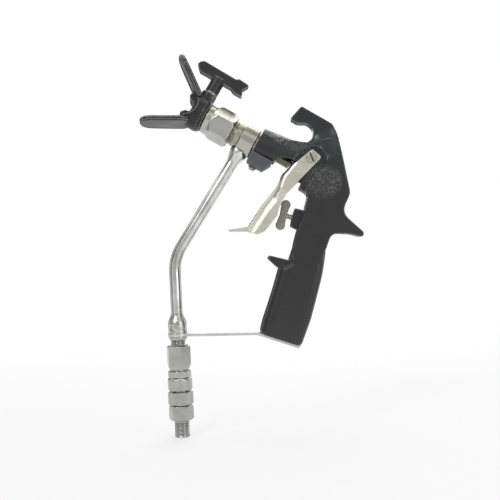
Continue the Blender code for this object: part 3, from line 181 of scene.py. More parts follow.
def mesh_object(name: str, points: np.ndarray, faces: list[list[int]], seam: float = 32.0) -> Object:
    """Makes a closed, outward-facing mesh object at the origin.

    Args:
        name: Name of the piece.
        points: Vertices in the row frame, in metres, shape (n, 3).
        faces: Vertex indices of each face.
        seam: Angle in degrees past which an edge stays sharp.

    Returns:
        The linked object.
    """
    mesh = bpy.data.meshes.new(name)
    mesh.from_pydata(points.tolist(), [], faces)
    mesh.validate()
    mesh.update()
    if signed_volume(mesh) < 0:
        mesh.flip_normals()
    mesh.shade_smooth()
    mesh.set_sharp_from_angle(angle=math.radians(seam))
    return linked(name, mesh)


def signed_volume(mesh: Mesh) -> float:
    """Volume inside a closed mesh, negative inside out: the sum of a . (b x c) / 6 over its triangles."""
    mesh.calc_loop_triangles()
    corners = np.empty(len(mesh.loop_triangles) * 3, np.int32)
    mesh.loop_triangles.foreach_get("vertices", corners)
    a, b, c = np.moveaxis(mesh_arrays(mesh)[0][corners.reshape(-1, 3)], 1, 0)
    return float(np.einsum("ij,ij->i", a, np.cross(b, c)).sum() / 6)


def grid_faces(rows: int, columns: int, loop: bool) -> np.ndarray:
    """Quads of a grid whose columns wrap round, and whose rows wrap too where it is a loop.

    Args:
        rows: Count of rows of vertices.
        columns: Count of vertices in a row.
        loop: Whether the last row joins the first.

    Returns:
        Vertex indices, shape (quads, 4).
    """
    row = np.arange(rows if loop else rows - 1)[:, None]
    column = np.arange(columns)[None, :]
    below, above = row * columns, (row + 1) % rows * columns
    after = (column + 1) % columns
    return np.stack((below + column, below + after, above + after, above + column), -1).reshape(-1, 4)


def grid_object(name: str, grid: np.ndarray, ends: Ends, seam: float = 32.0) -> Object:
    """Closes a grid of points into a piece, as a loop or with its first and last rows drawn to their middles.

    Args:
        name: Name of the piece.
        grid: Points in metres, shape (rows, columns, 3), whose columns wrap round.
        ends: How the rows are closed.
        seam: Angle in degrees past which an edge stays sharp.

    Returns:
        The linked object.
    """
    rows, columns, _ = grid.shape
    points = grid.reshape(-1, 3)
    faces = grid_faces(rows, columns, ends is Ends.LOOP).tolist()
    if ends is Ends.POLES:
        around = np.arange(columns)
        after = (around + 1) % columns
        first, last = rows * columns, rows * columns + 1
        low = np.stack((after, around, np.full(columns, first)), -1)
        high = np.stack((around, after, np.full(columns, last)), -1)
        high[:, :2] += (rows - 1) * columns
        points = np.vstack((points, grid[0].mean(0), grid[-1].mean(0)))
        faces += low.tolist() + high.tolist()
    return mesh_object(name, points, faces, seam)


def filleted(corners: list[Corner], closed: bool, steps: int = 3) -> np.ndarray:
    """Rounds each corner of a profile with a quadratic curve that is tangent to both its sides.

    The curve for the fillet f, at a corner whose sides meet at the angle w, starts f / tan(w / 2) from it,
    and no further than FILLET_SHARE of the shorter side.

    Args:
        corners: Radius, height and fillet of each corner.
        closed: Whether the profile is a loop.
        steps: Segments of each curve.

    Returns:
        Radii and heights, shape (n, 2), in millimetres.
    """
    count = len(corners)
    outline = []
    for i, (radius, height, fillet) in enumerate(corners):
        here = np.array((radius, height))
        if fillet == 0 or not (closed or 0 < i < count - 1):
            outline.append(here)
            continue
        before = np.array(corners[i - 1][:2]) - here
        after = np.array(corners[(i + 1) % count][:2]) - here
        near, far = np.linalg.norm(before), np.linalg.norm(after)
        before, after = before / near, after / far
        half = math.acos(float(np.clip(before @ after, -1, 1))) / 2
        reach = min(fillet / math.tan(half), FILLET_SHARE * near, FILLET_SHARE * far)
        start, end = here + before * reach, here + after * reach
        share = np.linspace(0, 1, steps + 1)[:, None]
        bow = here * 2 * share * (1 - share) + start * (1 - share) ** 2 + end * share**2
        outline.extend(bow)
    return np.array(outline)


def refined(profile: np.ndarray, closed: bool, step: float) -> np.ndarray:
    """Adds points along a profile so that none of its segments is longer than a step, in millimetres."""
    ends = looped(profile, closed)
    spans = np.linalg.norm(np.diff(ends, axis=0), axis=1)
    return divided(ends, closed, np.maximum(1, np.ceil(spans / step)).astype(int))


def looped(profile: np.ndarray, closed: bool) -> np.ndarray:
    """A profile with its first point once more at the end where it is closed."""
    return np.vstack((profile, profile[:1])) if closed else profile


def divided(ends: np.ndarray, closed: bool, counts: np.ndarray | list[int]) -> np.ndarray:
    """Divides each segment of a looped profile into its count of equal parts.

    Args:
        ends: Points of the profile, as looped gives them.
        closed: Whether it is a loop, whose last point is left out again.
        counts: How many parts each segment gets.

    Returns:
        The points.
    """
    parts = [np.linspace(ends[i], ends[i + 1], n, endpoint=False) for i, n in enumerate(counts)]
    return np.vstack(parts if closed else (*parts, ends[-1:]))


def hexagon_reach(angles: np.ndarray, flats: float, turn: float, crispness: float = 90.0) -> np.ndarray:
    """Distance to the edge of a hexagon with slightly rounded corners.

    It is half the distance across the flats over the p-norm of the cosines to the six flats' directions.

    Args:
        angles: Directions in radians.
        flats: Distance across the flats.
        turn: Direction of one corner, in radians.
        crispness: The norm's p: the larger, the sharper the corners.

    Returns:
        Distances in the unit of flats, shaped as angles.
    """
    sides = turn + math.pi / 6 + math.pi / 3 * np.arange(6)
    cosines = np.maximum(np.cos(angles[..., None] - sides), 0)
    return flats / 2 / (cosines**crispness).sum(-1) ** (1 / crispness)


def soft_least(a: np.ndarray, b: np.ndarray, blend: float) -> np.ndarray:
    """The lesser of two arrays, rounded where they cross by a quadratic of width blend."""
    mix = np.clip(0.5 + (b - a) / (2 * blend), 0, 1)
    return b + (a - b) * mix - blend * mix * (1 - mix)


@dataclass(frozen=True)
class Thread:
    """A helical screw thread cut into part of a turned piece.

    Attributes:
        start: Lowest height that is threaded, in millimetres.
        end: Highest threaded height.
        pitch: Rise of one turn.
        depth: Depth of the groove.
        radius: Only points of the profile at about this radius are cut.
    """

    start: float
    end: float
    pitch: float
    depth: float
    radius: float

    def groove(self, radii: np.ndarray, heights: np.ndarray, angles: np.ndarray) -> np.ndarray:
        """Depth cut at each point: a flat-bottomed vee that climbs a pitch a turn and runs out at both ends.

        Args:
            radii: Distances of the points from the axis, in millimetres.
            heights: Their heights along it.
            angles: Their directions round it, in radians.

        Returns:
            Depths in millimetres.
        """
        phase = heights / self.pitch - angles / TAU
        vee = 1 - np.abs(2 * (phase % 1) - 1)
        above, below = (heights - self.start) / self.pitch, (self.end - heights) / self.pitch
        inside = np.clip(above, 0, 1) * np.clip(below, 0, 1)
        on_thread = np.abs(radii - self.radius) < THREAD_MATCH
        return self.depth * np.clip(vee * VEE_DEPTH, 0, 1) * inside * on_thread


def turned(name: str, place: Place, corners: list[Corner], ends: Ends, flats: float = 0.0, turn: float = 0.0,
           thread: Thread | None = None, sides: int = 120, step: float = 0.7, seam: float = 40.0) -> Object:
    """Turns a filleted profile round an axis; with flats, what reaches past a hexagon is milled off.

    A point at radius r and height h lies at (r cos t, r sin t, h), where r is the lesser of the profile's
    radius and the hexagon's reach in the direction t, less the groove of the thread.

    Args:
        name: Name of the piece.
        place: Its axis: heights run along the place's z.
        corners: Radius, height and fillet of each corner of the profile.
        ends: A loop for a ring, poles for a solid piece.
        flats: Distance across the flats of a hexagon, or 0.
        turn: Direction of one corner of the hexagon, in radians.
        thread: Screw thread on the outside, or None.
        sides: Points round the axis.
        step: Longest segment along the profile.
        seam: Angle in degrees past which an edge stays sharp.

    Returns:
        The finished piece.
    """
    closed = ends is Ends.LOOP
    profile = refined(filleted(corners, closed), closed, step)
    if thread:
        profile = threaded_rows(profile, closed, thread)
    angles = turn + np.linspace(0, TAU, sides, endpoint=False)[None, :]
    radii = np.repeat(profile[:, :1], sides, 1)
    heights = np.repeat(profile[:, 1:], sides, 1)
    if flats:
        radii = soft_least(radii, hexagon_reach(angles, flats, turn), MILLED_BLEND)
    if thread:
        radii = radii - thread.groove(radii, heights, angles)
    radii = np.maximum(radii, 0)
    grid = np.stack((radii * np.cos(angles), radii * np.sin(angles), heights), -1)
    return grid_object(name, place.world(grid), ends, seam)


def threaded_rows(profile: np.ndarray, closed: bool, thread: Thread) -> np.ndarray:
    """Refines a profile to ROWS_A_PITCH rows a pitch where the thread is."""
    ends = looped(profile, closed)
    counts = []
    for a, b in zip(ends[:-1], ends[1:]):
        level = abs(a[0] - thread.radius) < THREAD_MATCH and abs(b[0] - thread.radius) < THREAD_MATCH
        near = min(a[1], b[1]) < thread.end and max(a[1], b[1]) > thread.start
        rows = math.ceil(abs(a[1] - b[1]) / thread.pitch * ROWS_A_PITCH)
        counts.append(max(1, rows) if level and near else 1)
    return divided(ends, closed, counts)


def eased(start: float, end: float, share: np.ndarray) -> np.ndarray:
    """Runs smoothly from start to end as share goes from 0 to 1, level at both ends."""
    share = np.clip(share, 0, 1)
    return start + (end - start) * share * share * (3 - 2 * share)


def swept(name: str, route: np.ndarray, radii: np.ndarray, sides: int = 72) -> Object:
    """A round bar whose radius changes along a route in the XZ plane.

    Each ring is centre + r (n cos t + y sin t), where n is the route's normal in the XZ plane.

    Args:
        name: Name of the piece.
        route: Centres as (x, z) in millimetres, shape (n, 2).
        radii: Radius at each centre.
        sides: Points round it.

    Returns:
        The finished piece.
    """
    heading = np.gradient(route, axis=0)
    heading /= np.linalg.norm(heading, axis=1)[:, None]
    normal = np.stack((-heading[:, 1], np.zeros(len(route)), heading[:, 0]), -1)
    centre = np.stack((route[:, 0], np.zeros(len(route)), route[:, 1]), -1)
    angles = np.linspace(0, TAU, sides, endpoint=False)[None, :, None]
    spokes = normal[:, None] * np.cos(angles) + np.array(ACROSS) * np.sin(angles)
    grid = centre[:, None] + radii[:, None, None] * spokes
    return grid_object(name, grid * MM, Ends.POLES)


def applied(piece: Object) -> Object:
    """Replaces the object's mesh by what its modifiers make of it."""
    bpy.context.view_layer.update()
    shown = piece.evaluated_get(bpy.context.evaluated_depsgraph_get())
    mesh = bpy.data.meshes.new_from_object(shown)
    piece.modifiers.clear()
    piece.data = mesh
    return piece


@dataclass(frozen=True)
class Blend:
    """An oval part of a casting's flanks whose steps are run into each other.

    Attributes:
        centre: X and Z of its middle, in millimetres.
        half: Half its length and half its height.
        kept: X, Z and radius of a circle that is left as it is.
        core: Points nearer the middle plane than this stay.
        rounds: Rounds of averaging.
        fade: Share of the oval over which the averaging fades out.
        margin: Distance off the kept circle over which it fades.
        run: Distance off the core over which it fades.
        pull: How far a point goes towards its neighbours' mean in one round.
    """

    centre: tuple[float, float]
    half: tuple[float, float]
    kept: tuple[float, float, float]
    core: float
    rounds: int
    fade: float = 0.3
    margin: float = 3.0
    run: float = 1.5
    pull: float = 0.9

    def apply(self, spots: np.ndarray, pairs: np.ndarray) -> None:
        """Averages the widths y of neighbouring points inside the oval.

        Args:
            spots: Points in metres, shape (n, 3), changed in place.
            pairs: Ends of the mesh's edges, shape (m, 2).
        """
        x, z = spots[:, 0] / MM, spots[:, 2] / MM
        far = np.hypot((x - self.centre[0]) / self.half[0], (z - self.centre[1]) / self.half[1])
        around = np.hypot(x - self.kept[0], z - self.kept[1]) - self.kept[2]
        share = eased(1.0, 0.0, (far - (1 - self.fade)) / self.fade) * eased(0.0, 1.0, around / self.margin)
        share = share * eased(0.0, 1.0, (np.abs(spots[:, 1]) / MM - self.core) / self.run)
        inside = share > 0
        near = pairs[inside[pairs].any(axis=1)]
        used, local = np.unique(near, return_inverse=True)
        a, b = local.reshape(-1, 2).T
        both = np.concatenate((a, b))
        degree = np.bincount(both, minlength=len(used))
        widths, part = spots[used, 1].copy(), share[used]
        for _ in range(self.rounds):
            passed = np.bincount(both, np.concatenate((widths[b], widths[a])), len(used)) / degree
            widths += (passed - widths) * part * self.pull
        spots[used, 1] = widths


def skin(name: str, node: Object, cell: float, smoothing: int, seam: float = 60.0,
         blends: tuple[Blend, ...] = (), swell: float = 0.0) -> Object:
    """A soft-edged skin over a CAD solid, as casting, moulding or pressing leaves it.

    A merged copy of the solid is laid out anew in even quads and relaxed, which rounds its edges and fills
    its inner corners by about a cell. mark_edges notes its convex and hollow edges for the finish.

    Args:
        name: Name of the piece.
        node: The CAD node that it covers.
        cell: Size of the quads in millimetres.
        smoothing: Rounds of relaxing.
        seam: Angle in degrees past which an edge stays sharp.
        blends: Places where steps are run into each other.
        swell: How far the relaxed skin is moved out again, in millimetres.

    Returns:
        The finished piece.
    """
    piece = linked(name, node.data.copy())
    piece.data.materials.clear()
    piece.modifiers.new("weld", "WELD").merge_threshold = WELD
    lattice = piece.modifiers.new("lattice", "REMESH")
    lattice.mode = "SHARP"
    spots, _ = mesh_arrays(piece.data)
    reach = float(np.ptp(spots, axis=0).max()) / (cell * MM)
    lattice.octree_depth = math.ceil(math.log2(reach / LATTICE_SHARE))
    lattice.scale = reach / 2**lattice.octree_depth
    lattice.use_remove_disconnected = False
    relax = piece.modifiers.new("relax", "SMOOTH")
    relax.factor = 0.5
    relax.iterations = smoothing
    applied(piece)
    if blends:
        spots, pairs = mesh_arrays(piece.data)
        for blend in blends:
            blend.apply(spots, pairs)
        place_vertices(piece.data, spots)
    if swell:
        place_vertices(piece.data, mesh_arrays(piece.data)[0] + mesh_normals(piece.data) * swell * MM)
    piece.data.shade_smooth()
    piece.data.set_sharp_from_angle(angle=math.radians(seam))
    mark_edges(piece.data)
    return piece


def mesh_arrays(mesh: Mesh) -> tuple[np.ndarray, np.ndarray]:
    """Points of a mesh in metres, shape (n, 3), and the ends of its edges, shape (m, 2)."""
    spots = np.empty(len(mesh.vertices) * 3, np.float32)
    mesh.vertices.foreach_get("co", spots)
    pairs = np.empty(len(mesh.edges) * 2, np.int32)
    mesh.edges.foreach_get("vertices", pairs)
    return spots.reshape(-1, 3).astype(float), pairs.reshape(-1, 2)


def place_vertices(mesh: Mesh, spots: np.ndarray) -> None:
    """Moves a mesh's vertices to points in metres, shape (n, 3)."""
    mesh.vertices.foreach_set("co", spots.ravel())
    mesh.update()


def mesh_normals(mesh: Mesh) -> np.ndarray:
    """Normals at a mesh's vertices, shape (n, 3)."""
    normals = np.empty(len(mesh.vertices) * 3, np.float32)
    mesh.vertex_normals.foreach_get("vector", normals)
    return normals.reshape(-1, 3)


def mark_edges(mesh: Mesh, spread: int = 3, gain: float = 0.9) -> None:
    """Writes an attribute named edge: 0 in a hollow, 0.5 where the surface is flat and 1 on a convex edge.

    It is 0.5 and gain times the mean over a vertex's edges of (n2 - n1) . (p2 - p1) / |p2 - p1|^2 in 1/mm,
    averaged with its neighbours a few times.

    Args:
        mesh: A fine, even mesh.
        spread: Rounds of averaging.
        gain: Share of the scale that a bend of 1/mm takes.
    """
    spots, pairs = mesh_arrays(mesh)
    normals = mesh_normals(mesh)
    a, b = pairs.T
    step = (spots[b] - spots[a]) / MM
    bend = np.einsum("ij,ij->i", normals[b] - normals[a], step) / np.maximum((step**2).sum(1), 1e-9)
    both, twice = np.concatenate((a, b)), np.concatenate((bend, bend))
    degree = np.maximum(np.bincount(both, minlength=len(spots)), 1)
    value = np.bincount(both, twice, len(spots)) / degree
    for _ in range(spread):
        passed = np.bincount(both, np.concatenate((value[b], value[a])), len(spots)) / degree
        value = (value + passed) / 2
    shade = np.clip(0.5 + value * gain, 0, 1).astype(np.float32)
    layer = mesh.attributes.new("edge", "FLOAT", "POINT")
    layer.data.foreach_set("value", shade)


@dataclass
class Solid:
    """A closed mesh that exact Booleans put together, before it gets its skin.

    Attributes:
        piece: The working object.
    """

    piece: Object

    @classmethod
    def of(cls, node: Object) -> "Solid":
        """A merged copy of a CAD node."""
        copy = linked(node.name + "_copy", node.data.copy())
        copy.modifiers.new("weld", "WELD").merge_threshold = WELD
        return cls(applied(copy))

    @classmethod
    def prism(cls, place: Place, outline: np.ndarray, low: float, high: float) -> "Solid":
        """An outline drawn out along the place's z.

        Args:
            place: Its axes.
            outline: Points along the place's x and y in millimetres, shape (n, 2).
            low: Height where it starts.
            high: Height where it ends.

        Returns:
            The solid.
        """
        levels = (np.column_stack((outline, np.full(len(outline), level))) for level in (low, high))
        return cls.loft(np.array([place.world(level) for level in levels]))

    @classmethod
    def loft(cls, rings: np.ndarray) -> "Solid":
        """Rings of as many points each, in metres, shape (rings, points, 3), skinned and capped."""
        rows, columns, _ = rings.shape
        faces = grid_faces(rows, columns, False).tolist()
        last = (rows - 1) * columns
        faces += [list(range(columns))[::-1], list(range(last, last + columns))]
        return cls(mesh_object("solid", rings.reshape(-1, 3), faces))

    def boolean(self, other: "Solid", operation: str) -> "Solid":
        """Joins, cuts or meets the solid with another, which is used up.

        Args:
            other: The other solid.
            operation: UNION, DIFFERENCE or INTERSECT.

        Returns:
            The solid itself.
        """
        step = self.piece.modifiers.new(operation, "BOOLEAN")
        step.operation = operation
        step.solver = "EXACT"
        step.object = other.piece
        applied(self.piece)
        bpy.data.objects.remove(other.piece)
        return self

    def join(self, other: "Solid") -> "Solid":
        """Adds another solid."""
        return self.boolean(other, "UNION")

    def cut(self, other: "Solid") -> "Solid":
        """Takes another solid away."""
        return self.boolean(other, "DIFFERENCE")

    def skinned(self, name: str, cell: float, smoothing: int) -> Object:
        """Gives the solid its skin and drops the working object.

        Args:
            name: Name of the piece.
            cell: Size of the skin's quads in millimetres.
            smoothing: Rounds of relaxing.

        Returns:
            The finished piece.
        """
        piece = skin(name, self.piece, cell, smoothing)
        bpy.data.objects.remove(self.piece)
        return piece


def circle(radius: float, sides: int = 96) -> np.ndarray:
    """Points of a circle round the origin, in millimetres."""
    angles = np.linspace(0, TAU, sides, endpoint=False)
    return radius * np.stack((np.cos(angles), np.sin(angles)), -1)


def offset(line: list[Corner], distance: float) -> list[Corner]:
    """Moves an open line of (x, z, fillet) corners to its right by a distance, along its corners' middles."""
    spots = np.array([corner[:2] for corner in line])
    headings = np.diff(spots, axis=0)
    headings /= np.linalg.norm(headings, axis=1)[:, None]
    before, after = np.vstack((headings[:1], headings)), np.vstack((headings, headings[-1:]))
    middle = before + after
    middle /= np.linalg.norm(middle, axis=1)[:, None]
    side = np.stack((-middle[:, 1], middle[:, 0]), -1)
    reach = distance / np.maximum(0.5, (middle * before).sum(1))
    moved = spots + side * reach[:, None]
    return [(float(x), float(z), corner[2]) for (x, z), corner in zip(moved, line)]


# Finishes


class Graph:
    """Builds a material's nodes."""

    def __init__(self, name: str) -> None:
        """Starts a material of that name with its Principled shader."""
        self.material = bpy.data.materials.new(name)
        self.material.use_nodes = True
        self.tree = self.material.node_tree
        self.shader = self.tree.nodes["Principled BSDF"]
        self.output = self.tree.nodes["Material Output"]

    def node(self, kind: str, **inputs: Entry) -> bpy.types.Node:
        """Adds a node.

        Args:
            kind: Blender's name of the node type.
            **inputs: Values or sockets by input name; names in small letters with _ for a space.

        Returns:
            The node.
        """
        made = self.tree.nodes.new(kind)
        for key, value in inputs.items():
            self.feed(made.inputs[key.replace("_", " ")], value)
        return made

    def finish(self, colour: Entry, roughness: Entry, normal: Socket) -> Material:
        """Feeds the shader's colour, roughness and normal.

        Args:
            colour: The base colour.
            roughness: The roughness.
            normal: The normal.

        Returns:
            The finished material.
        """
        for key, value in (("Base Color", colour), ("Roughness", roughness), ("Normal", normal)):
            self.feed(self.shader.inputs[key], value)
        return self.material

    def feed(self, socket: Socket, value: Entry) -> None:
        """Links a socket, or sets a constant, to an input."""
        if isinstance(value, Socket):
            self.tree.links.new(value, socket)
        else:
            socket.default_value = value

    def place(self, scale: Rgb = (1.0, 1.0, 1.0), turn: Rgb = (0.0, 0.0, 0.0)) -> Socket:
        """Object coordinates, stretched and turned."""
        spots = self.node("ShaderNodeTexCoord")
        mapping = self.node("ShaderNodeMapping", Vector=spots.outputs["Object"], Rotation=turn, Scale=scale)
        return mapping.outputs["Vector"]

    def noise(self, scale: float, detail: float = 3.0, where: Socket | None = None,
              roughness: float = 0.5) -> Socket:
        """Noise from 0 to 1 with that many cells a metre."""
        made = self.node("ShaderNodeTexNoise", Vector=where or self.place(), Scale=scale, Detail=detail,
                         Roughness=roughness)
        return made.outputs["Fac"]

    def span(self, value: Socket, low: float, high: float, to_low: float = 0.0,
             to_high: float = 1.0) -> Socket:
        """Maps a value from one range to another, and holds it at the ends."""
        made = self.node("ShaderNodeMapRange")
        for index, entry in enumerate((value, low, high, to_low, to_high)):
            self.feed(made.inputs[index], entry)
        return made.outputs["Result"]

    def calc(self, operation: str, *values: Entry) -> Socket:
        """A Math node of that operation."""
        made = self.tree.nodes.new("ShaderNodeMath")
        made.operation = operation
        for index, entry in enumerate(values):
            self.feed(made.inputs[index], entry)
        return made.outputs["Value"]

    def plus(self, a: Entry, b: Socket, share: float) -> Socket:
        """Adds a share of b to a."""
        return self.calc("ADD", a, self.calc("MULTIPLY", b, share))

    def blended(self, a: Socket, b: Socket, share: float) -> Socket:
        """A share of a and the rest of b."""
        return self.plus(self.calc("MULTIPLY", a, share), b, 1.0 - share)

    def mixed(self, share: Socket, a: Entry, b: Entry) -> Socket:
        """Blends two colours."""
        made = self.tree.nodes.new("ShaderNodeMix")
        made.data_type = "RGBA"
        self.feed(made.inputs[0], share)
        for index, colour in ((6, a), (7, b)):
            self.feed(made.inputs[index], (*colour, 1.0) if isinstance(colour, tuple) else colour)
        return made.outputs[2]

    def bumped(self, height: Socket, depth: float, before: Socket | None = None,
               strength: float = 1.0) -> Socket:
        """A normal from a height in millimetres of that depth."""
        made = self.node("ShaderNodeBump", Height=height, Distance=depth * MM, Strength=strength)
        if before:
            self.feed(made.inputs["Normal"], before)
        return made.outputs["Normal"]

    def edge(self) -> Socket:
        """The piece's edge attribute."""
        made = self.tree.nodes.new("ShaderNodeAttribute")
        made.attribute_name = "edge"
        return made.outputs["Fac"]

    def patch(self, centre: tuple[float, float], half: tuple[float, float], turn: float,
              soft: float = 0.35) -> Socket:
        """A soft oval mask in the XZ plane: 1 inside, 0 outside.

        Args:
            centre: X and Z of its middle in millimetres.
            half: Half its length and half its height.
            turn: Angle of its length above +X, in radians.
            soft: Share of it that fades.

        Returns:
            The mask.
        """
        spots = self.node("ShaderNodeTexCoord").outputs["Object"]
        made = self.node("ShaderNodeMapping", Vector=spots)
        made.vector_type = "TEXTURE"
        made.inputs["Location"].default_value = (centre[0] * MM, 0.0, centre[1] * MM)
        made.inputs["Rotation"].default_value = (0.0, -turn, 0.0)
        made.inputs["Scale"].default_value = (half[0] * MM, 1e3, half[1] * MM)
        far = self.tree.nodes.new("ShaderNodeVectorMath")
        far.operation = "LENGTH"
        self.feed(far.inputs[0], made.outputs["Vector"])
        return self.span(far.outputs["Value"], 1.0 - soft, 1.0, 1.0, 0.0)


SMUDGE_CELLS = 300.0  # cells a metre of the smudges that fingers leave on metal
# Colour of the painted shade in the hollows of plated pieces, such as a screw's slot.
CREASE_SHADE = (0.03, 0.03, 0.025)


@dataclass(frozen=True)
class PlatedMetal:
    """Plated or plain machined metal with turning marks, smudges, a slight tarnish and, where asked, painted
    shade in its hollows.

    Attributes:
        name: Material name.
        colour: Clean metal.
        tarnish: Colour of the tarnished places.
        roughness: Mean roughness.
        smudge: How much the roughness varies.
        marks: Depth of the machining marks in millimetres.
        stretch: Cells a metre of the marks along X, Y and Z.
        turn: Rotation of the marks, so that one of those axes follows the piece's.
        patina: Cells a metre of the tarnish.
        painted_hollow_shade: Whether painted shade darkens the piece's hollows, by its edge attribute.
    """

    name: str
    colour: Rgb
    tarnish: Rgb
    roughness: float
    smudge: float = 0.10
    marks: float = 0.010
    stretch: Rgb = (120.0, 120.0, 1600.0)
    turn: Rgb = (0.0, 0.0, 0.0)
    patina: float = 55.0
    painted_hollow_shade: bool = False

    def build(self) -> Material:
        """Makes the material."""
        graph = Graph(self.name)
        graph.shader.inputs["Metallic"].default_value = 1.0
        spots = graph.noise(SMUDGE_CELLS, 3.0, roughness=0.55)
        clouds = graph.span(graph.noise(self.patina, 4.0), 0.40, 0.70)
        stain = graph.calc("MULTIPLY", clouds, graph.span(spots, 0.35, 0.75, 0.6, 1.0))
        colour = graph.mixed(stain, self.colour, self.tarnish)
        # Painted shade: the piece's hollows, such as a screw's slot, go dark.
        if self.painted_hollow_shade:
            colour = graph.mixed(graph.span(graph.edge(), 0.30, 0.46, 1.0, 0.0), colour, CREASE_SHADE)
        lines = graph.noise(1.0, 3.0, graph.place(self.stretch, self.turn), 0.6)
        rough = graph.span(graph.blended(spots, lines, 0.5), 0.25, 0.75, self.roughness - self.smudge / 2,
                           self.roughness + self.smudge)
        return graph.finish(colour, rough, graph.bumped(lines, self.marks, strength=0.5))


@dataclass(frozen=True)
class CastPaint:
    """Powder coat over a casting: slow swells, orange peel, edge wear from rubbing and rougher cast panels,
    with painted highlights on its edges and on the panels' peaks, and a painted cooler tint on its upper part.

    Attributes:
        name: Material name.
        colour: The coat.
        edge_wear_and_highlight: Its colour along edges, which stands for wear from rubbing and also paints the
            highlights that the edges catch.
        upper: Painted reflection: a cooler tint of the coat on the upper part.
        roughness: Mean roughness.
        peel: Depth of the orange peel in millimetres.
        panels: Rough cast panels as centre, half size and turn, as Graph.patch takes them; the peaks of their
            relief get painted highlights.
        relief: Depth of their roughness in millimetres.
        painted_tint_heights: Heights between which the coat goes over to the painted cooler tint, in metres.
    """

    name: str
    colour: Rgb
    edge_wear_and_highlight: Rgb
    upper: Rgb
    roughness: float
    peel: float = 0.05
    panels: tuple[tuple[tuple[float, float], tuple[float, float], float], ...] = ()
    relief: float = 0.80
    painted_tint_heights: tuple[float, float] = (0.085, 0.120)

    def build(self) -> Material:
        """Makes the material."""
        graph = Graph(self.name)
        height = graph.node("ShaderNodeSeparateXYZ", Vector=graph.place()).outputs["Z"]
        # Painted reflection: towards the top the coat goes over to a cooler tint.
        coat = graph.mixed(graph.span(height, *self.painted_tint_heights), self.colour, self.upper)
        wobble = graph.noise(260.0, 5.0, roughness=0.65)
        # Edge wear and painted highlights: convex edges go over to the lighter edge colour.
        wear_and_highlight = graph.span(graph.plus(graph.edge(), wobble, 0.30), 0.90, 1.10)
        swell, grain = graph.noise(70.0, 2.0), graph.noise(1500.0, 3.0)
        rough = graph.span(graph.blended(swell, grain, 0.6), 0.3, 0.7, self.roughness - 0.05,
                           self.roughness + 0.10)
        normal = graph.bumped(grain, self.peel, graph.bumped(swell, self.peel * 3), 0.6)
        if self.panels:
            mask = self.panel_mask(graph)
            cells = graph.node("ShaderNodeTexVoronoi", Vector=graph.place(), Scale=430.0).outputs["Distance"]
            relief = graph.calc("ADD", cells, graph.noise(640.0, 4.0))
            normal = graph.bumped(graph.calc("MULTIPLY", mask, relief), self.relief, normal)
            # Painted highlights on the peaks of the panels' relief.
            high = graph.calc("MULTIPLY", mask, graph.span(relief, 0.92, 1.25, 0.0, 0.5))
            wear_and_highlight = graph.calc("MAXIMUM", wear_and_highlight, high)
            rough = graph.plus(rough, mask, -0.08)
        colour = graph.mixed(graph.calc("MULTIPLY", wear_and_highlight, 0.55), coat, self.edge_wear_and_highlight)
        return graph.finish(colour, rough, normal)

    def panel_mask(self, graph: Graph) -> Socket:
        """The greatest of the panels' masks."""
        masks = [graph.patch(*panel) for panel in self.panels]
        whole = masks[0]
        for mask in masks[1:]:
            whole = graph.calc("MAXIMUM", whole, mask)
        return whole


@dataclass(frozen=True)
class MouldedPlastic:
    """Glass-filled nylon: fine moulded grain, faint flow marks and painted highlights along its convex edges.

    Attributes:
        name: Material name.
        colour: Its colour.
        edge_highlight: Its colour along convex edges, a painted highlight.
        roughness: Mean roughness.
    """

    name: str
    colour: Rgb
    edge_highlight: Rgb
    roughness: float

    def build(self) -> Material:
        """Makes the material."""
        graph = Graph(self.name)
        graph.shader.inputs["Specular IOR Level"].default_value = 0.30
        flow = graph.noise(1.0, 3.0, graph.place((60.0, 60.0, 240.0), (0.0, PITCH, 0.0)))
        # Painted highlight: convex edges lighten, broken up by noise.
        lit_edges = graph.span(graph.plus(graph.edge(), graph.noise(300.0, 4.0), 0.3), 0.78, 1.02)
        colour = graph.mixed(graph.calc("MULTIPLY", lit_edges, 0.6), self.colour, self.edge_highlight)
        rough = graph.span(flow, 0.3, 0.7, self.roughness - 0.06, self.roughness + 0.08)
        grain = graph.bumped(graph.noise(2600.0, 2.0), 0.020)
        return graph.finish(colour, rough, graph.bumped(flow, 0.06, grain))


@dataclass(frozen=True)
class SealPlastic:
    """Off-white sealing plastic with a faint cloudiness.

    Attributes:
        name: Material name.
        colour: Its colour.
        shade: The colour of its clouds.
    """

    name: str
    colour: Rgb
    shade: Rgb

    def build(self) -> Material:
        """Makes the material."""
        graph = Graph(self.name)
        cloud = graph.noise(300.0, 4.0)
        colour, rough = graph.mixed(cloud, self.colour, self.shade), graph.span(cloud, 0.3, 0.7, 0.45, 0.6)
        return graph.finish(colour, rough, graph.bumped(graph.noise(2400.0), 0.01))


BARREL_TURN = (0.0, -PITCH, 0.0)
CAST_PANELS = (  # on the barrel and on the body
    ((0.5, 120.8), (21.0, 6.6), math.radians(-21)),
    ((25.8, 87.0), (17.0, 15.0), math.radians(-14)))


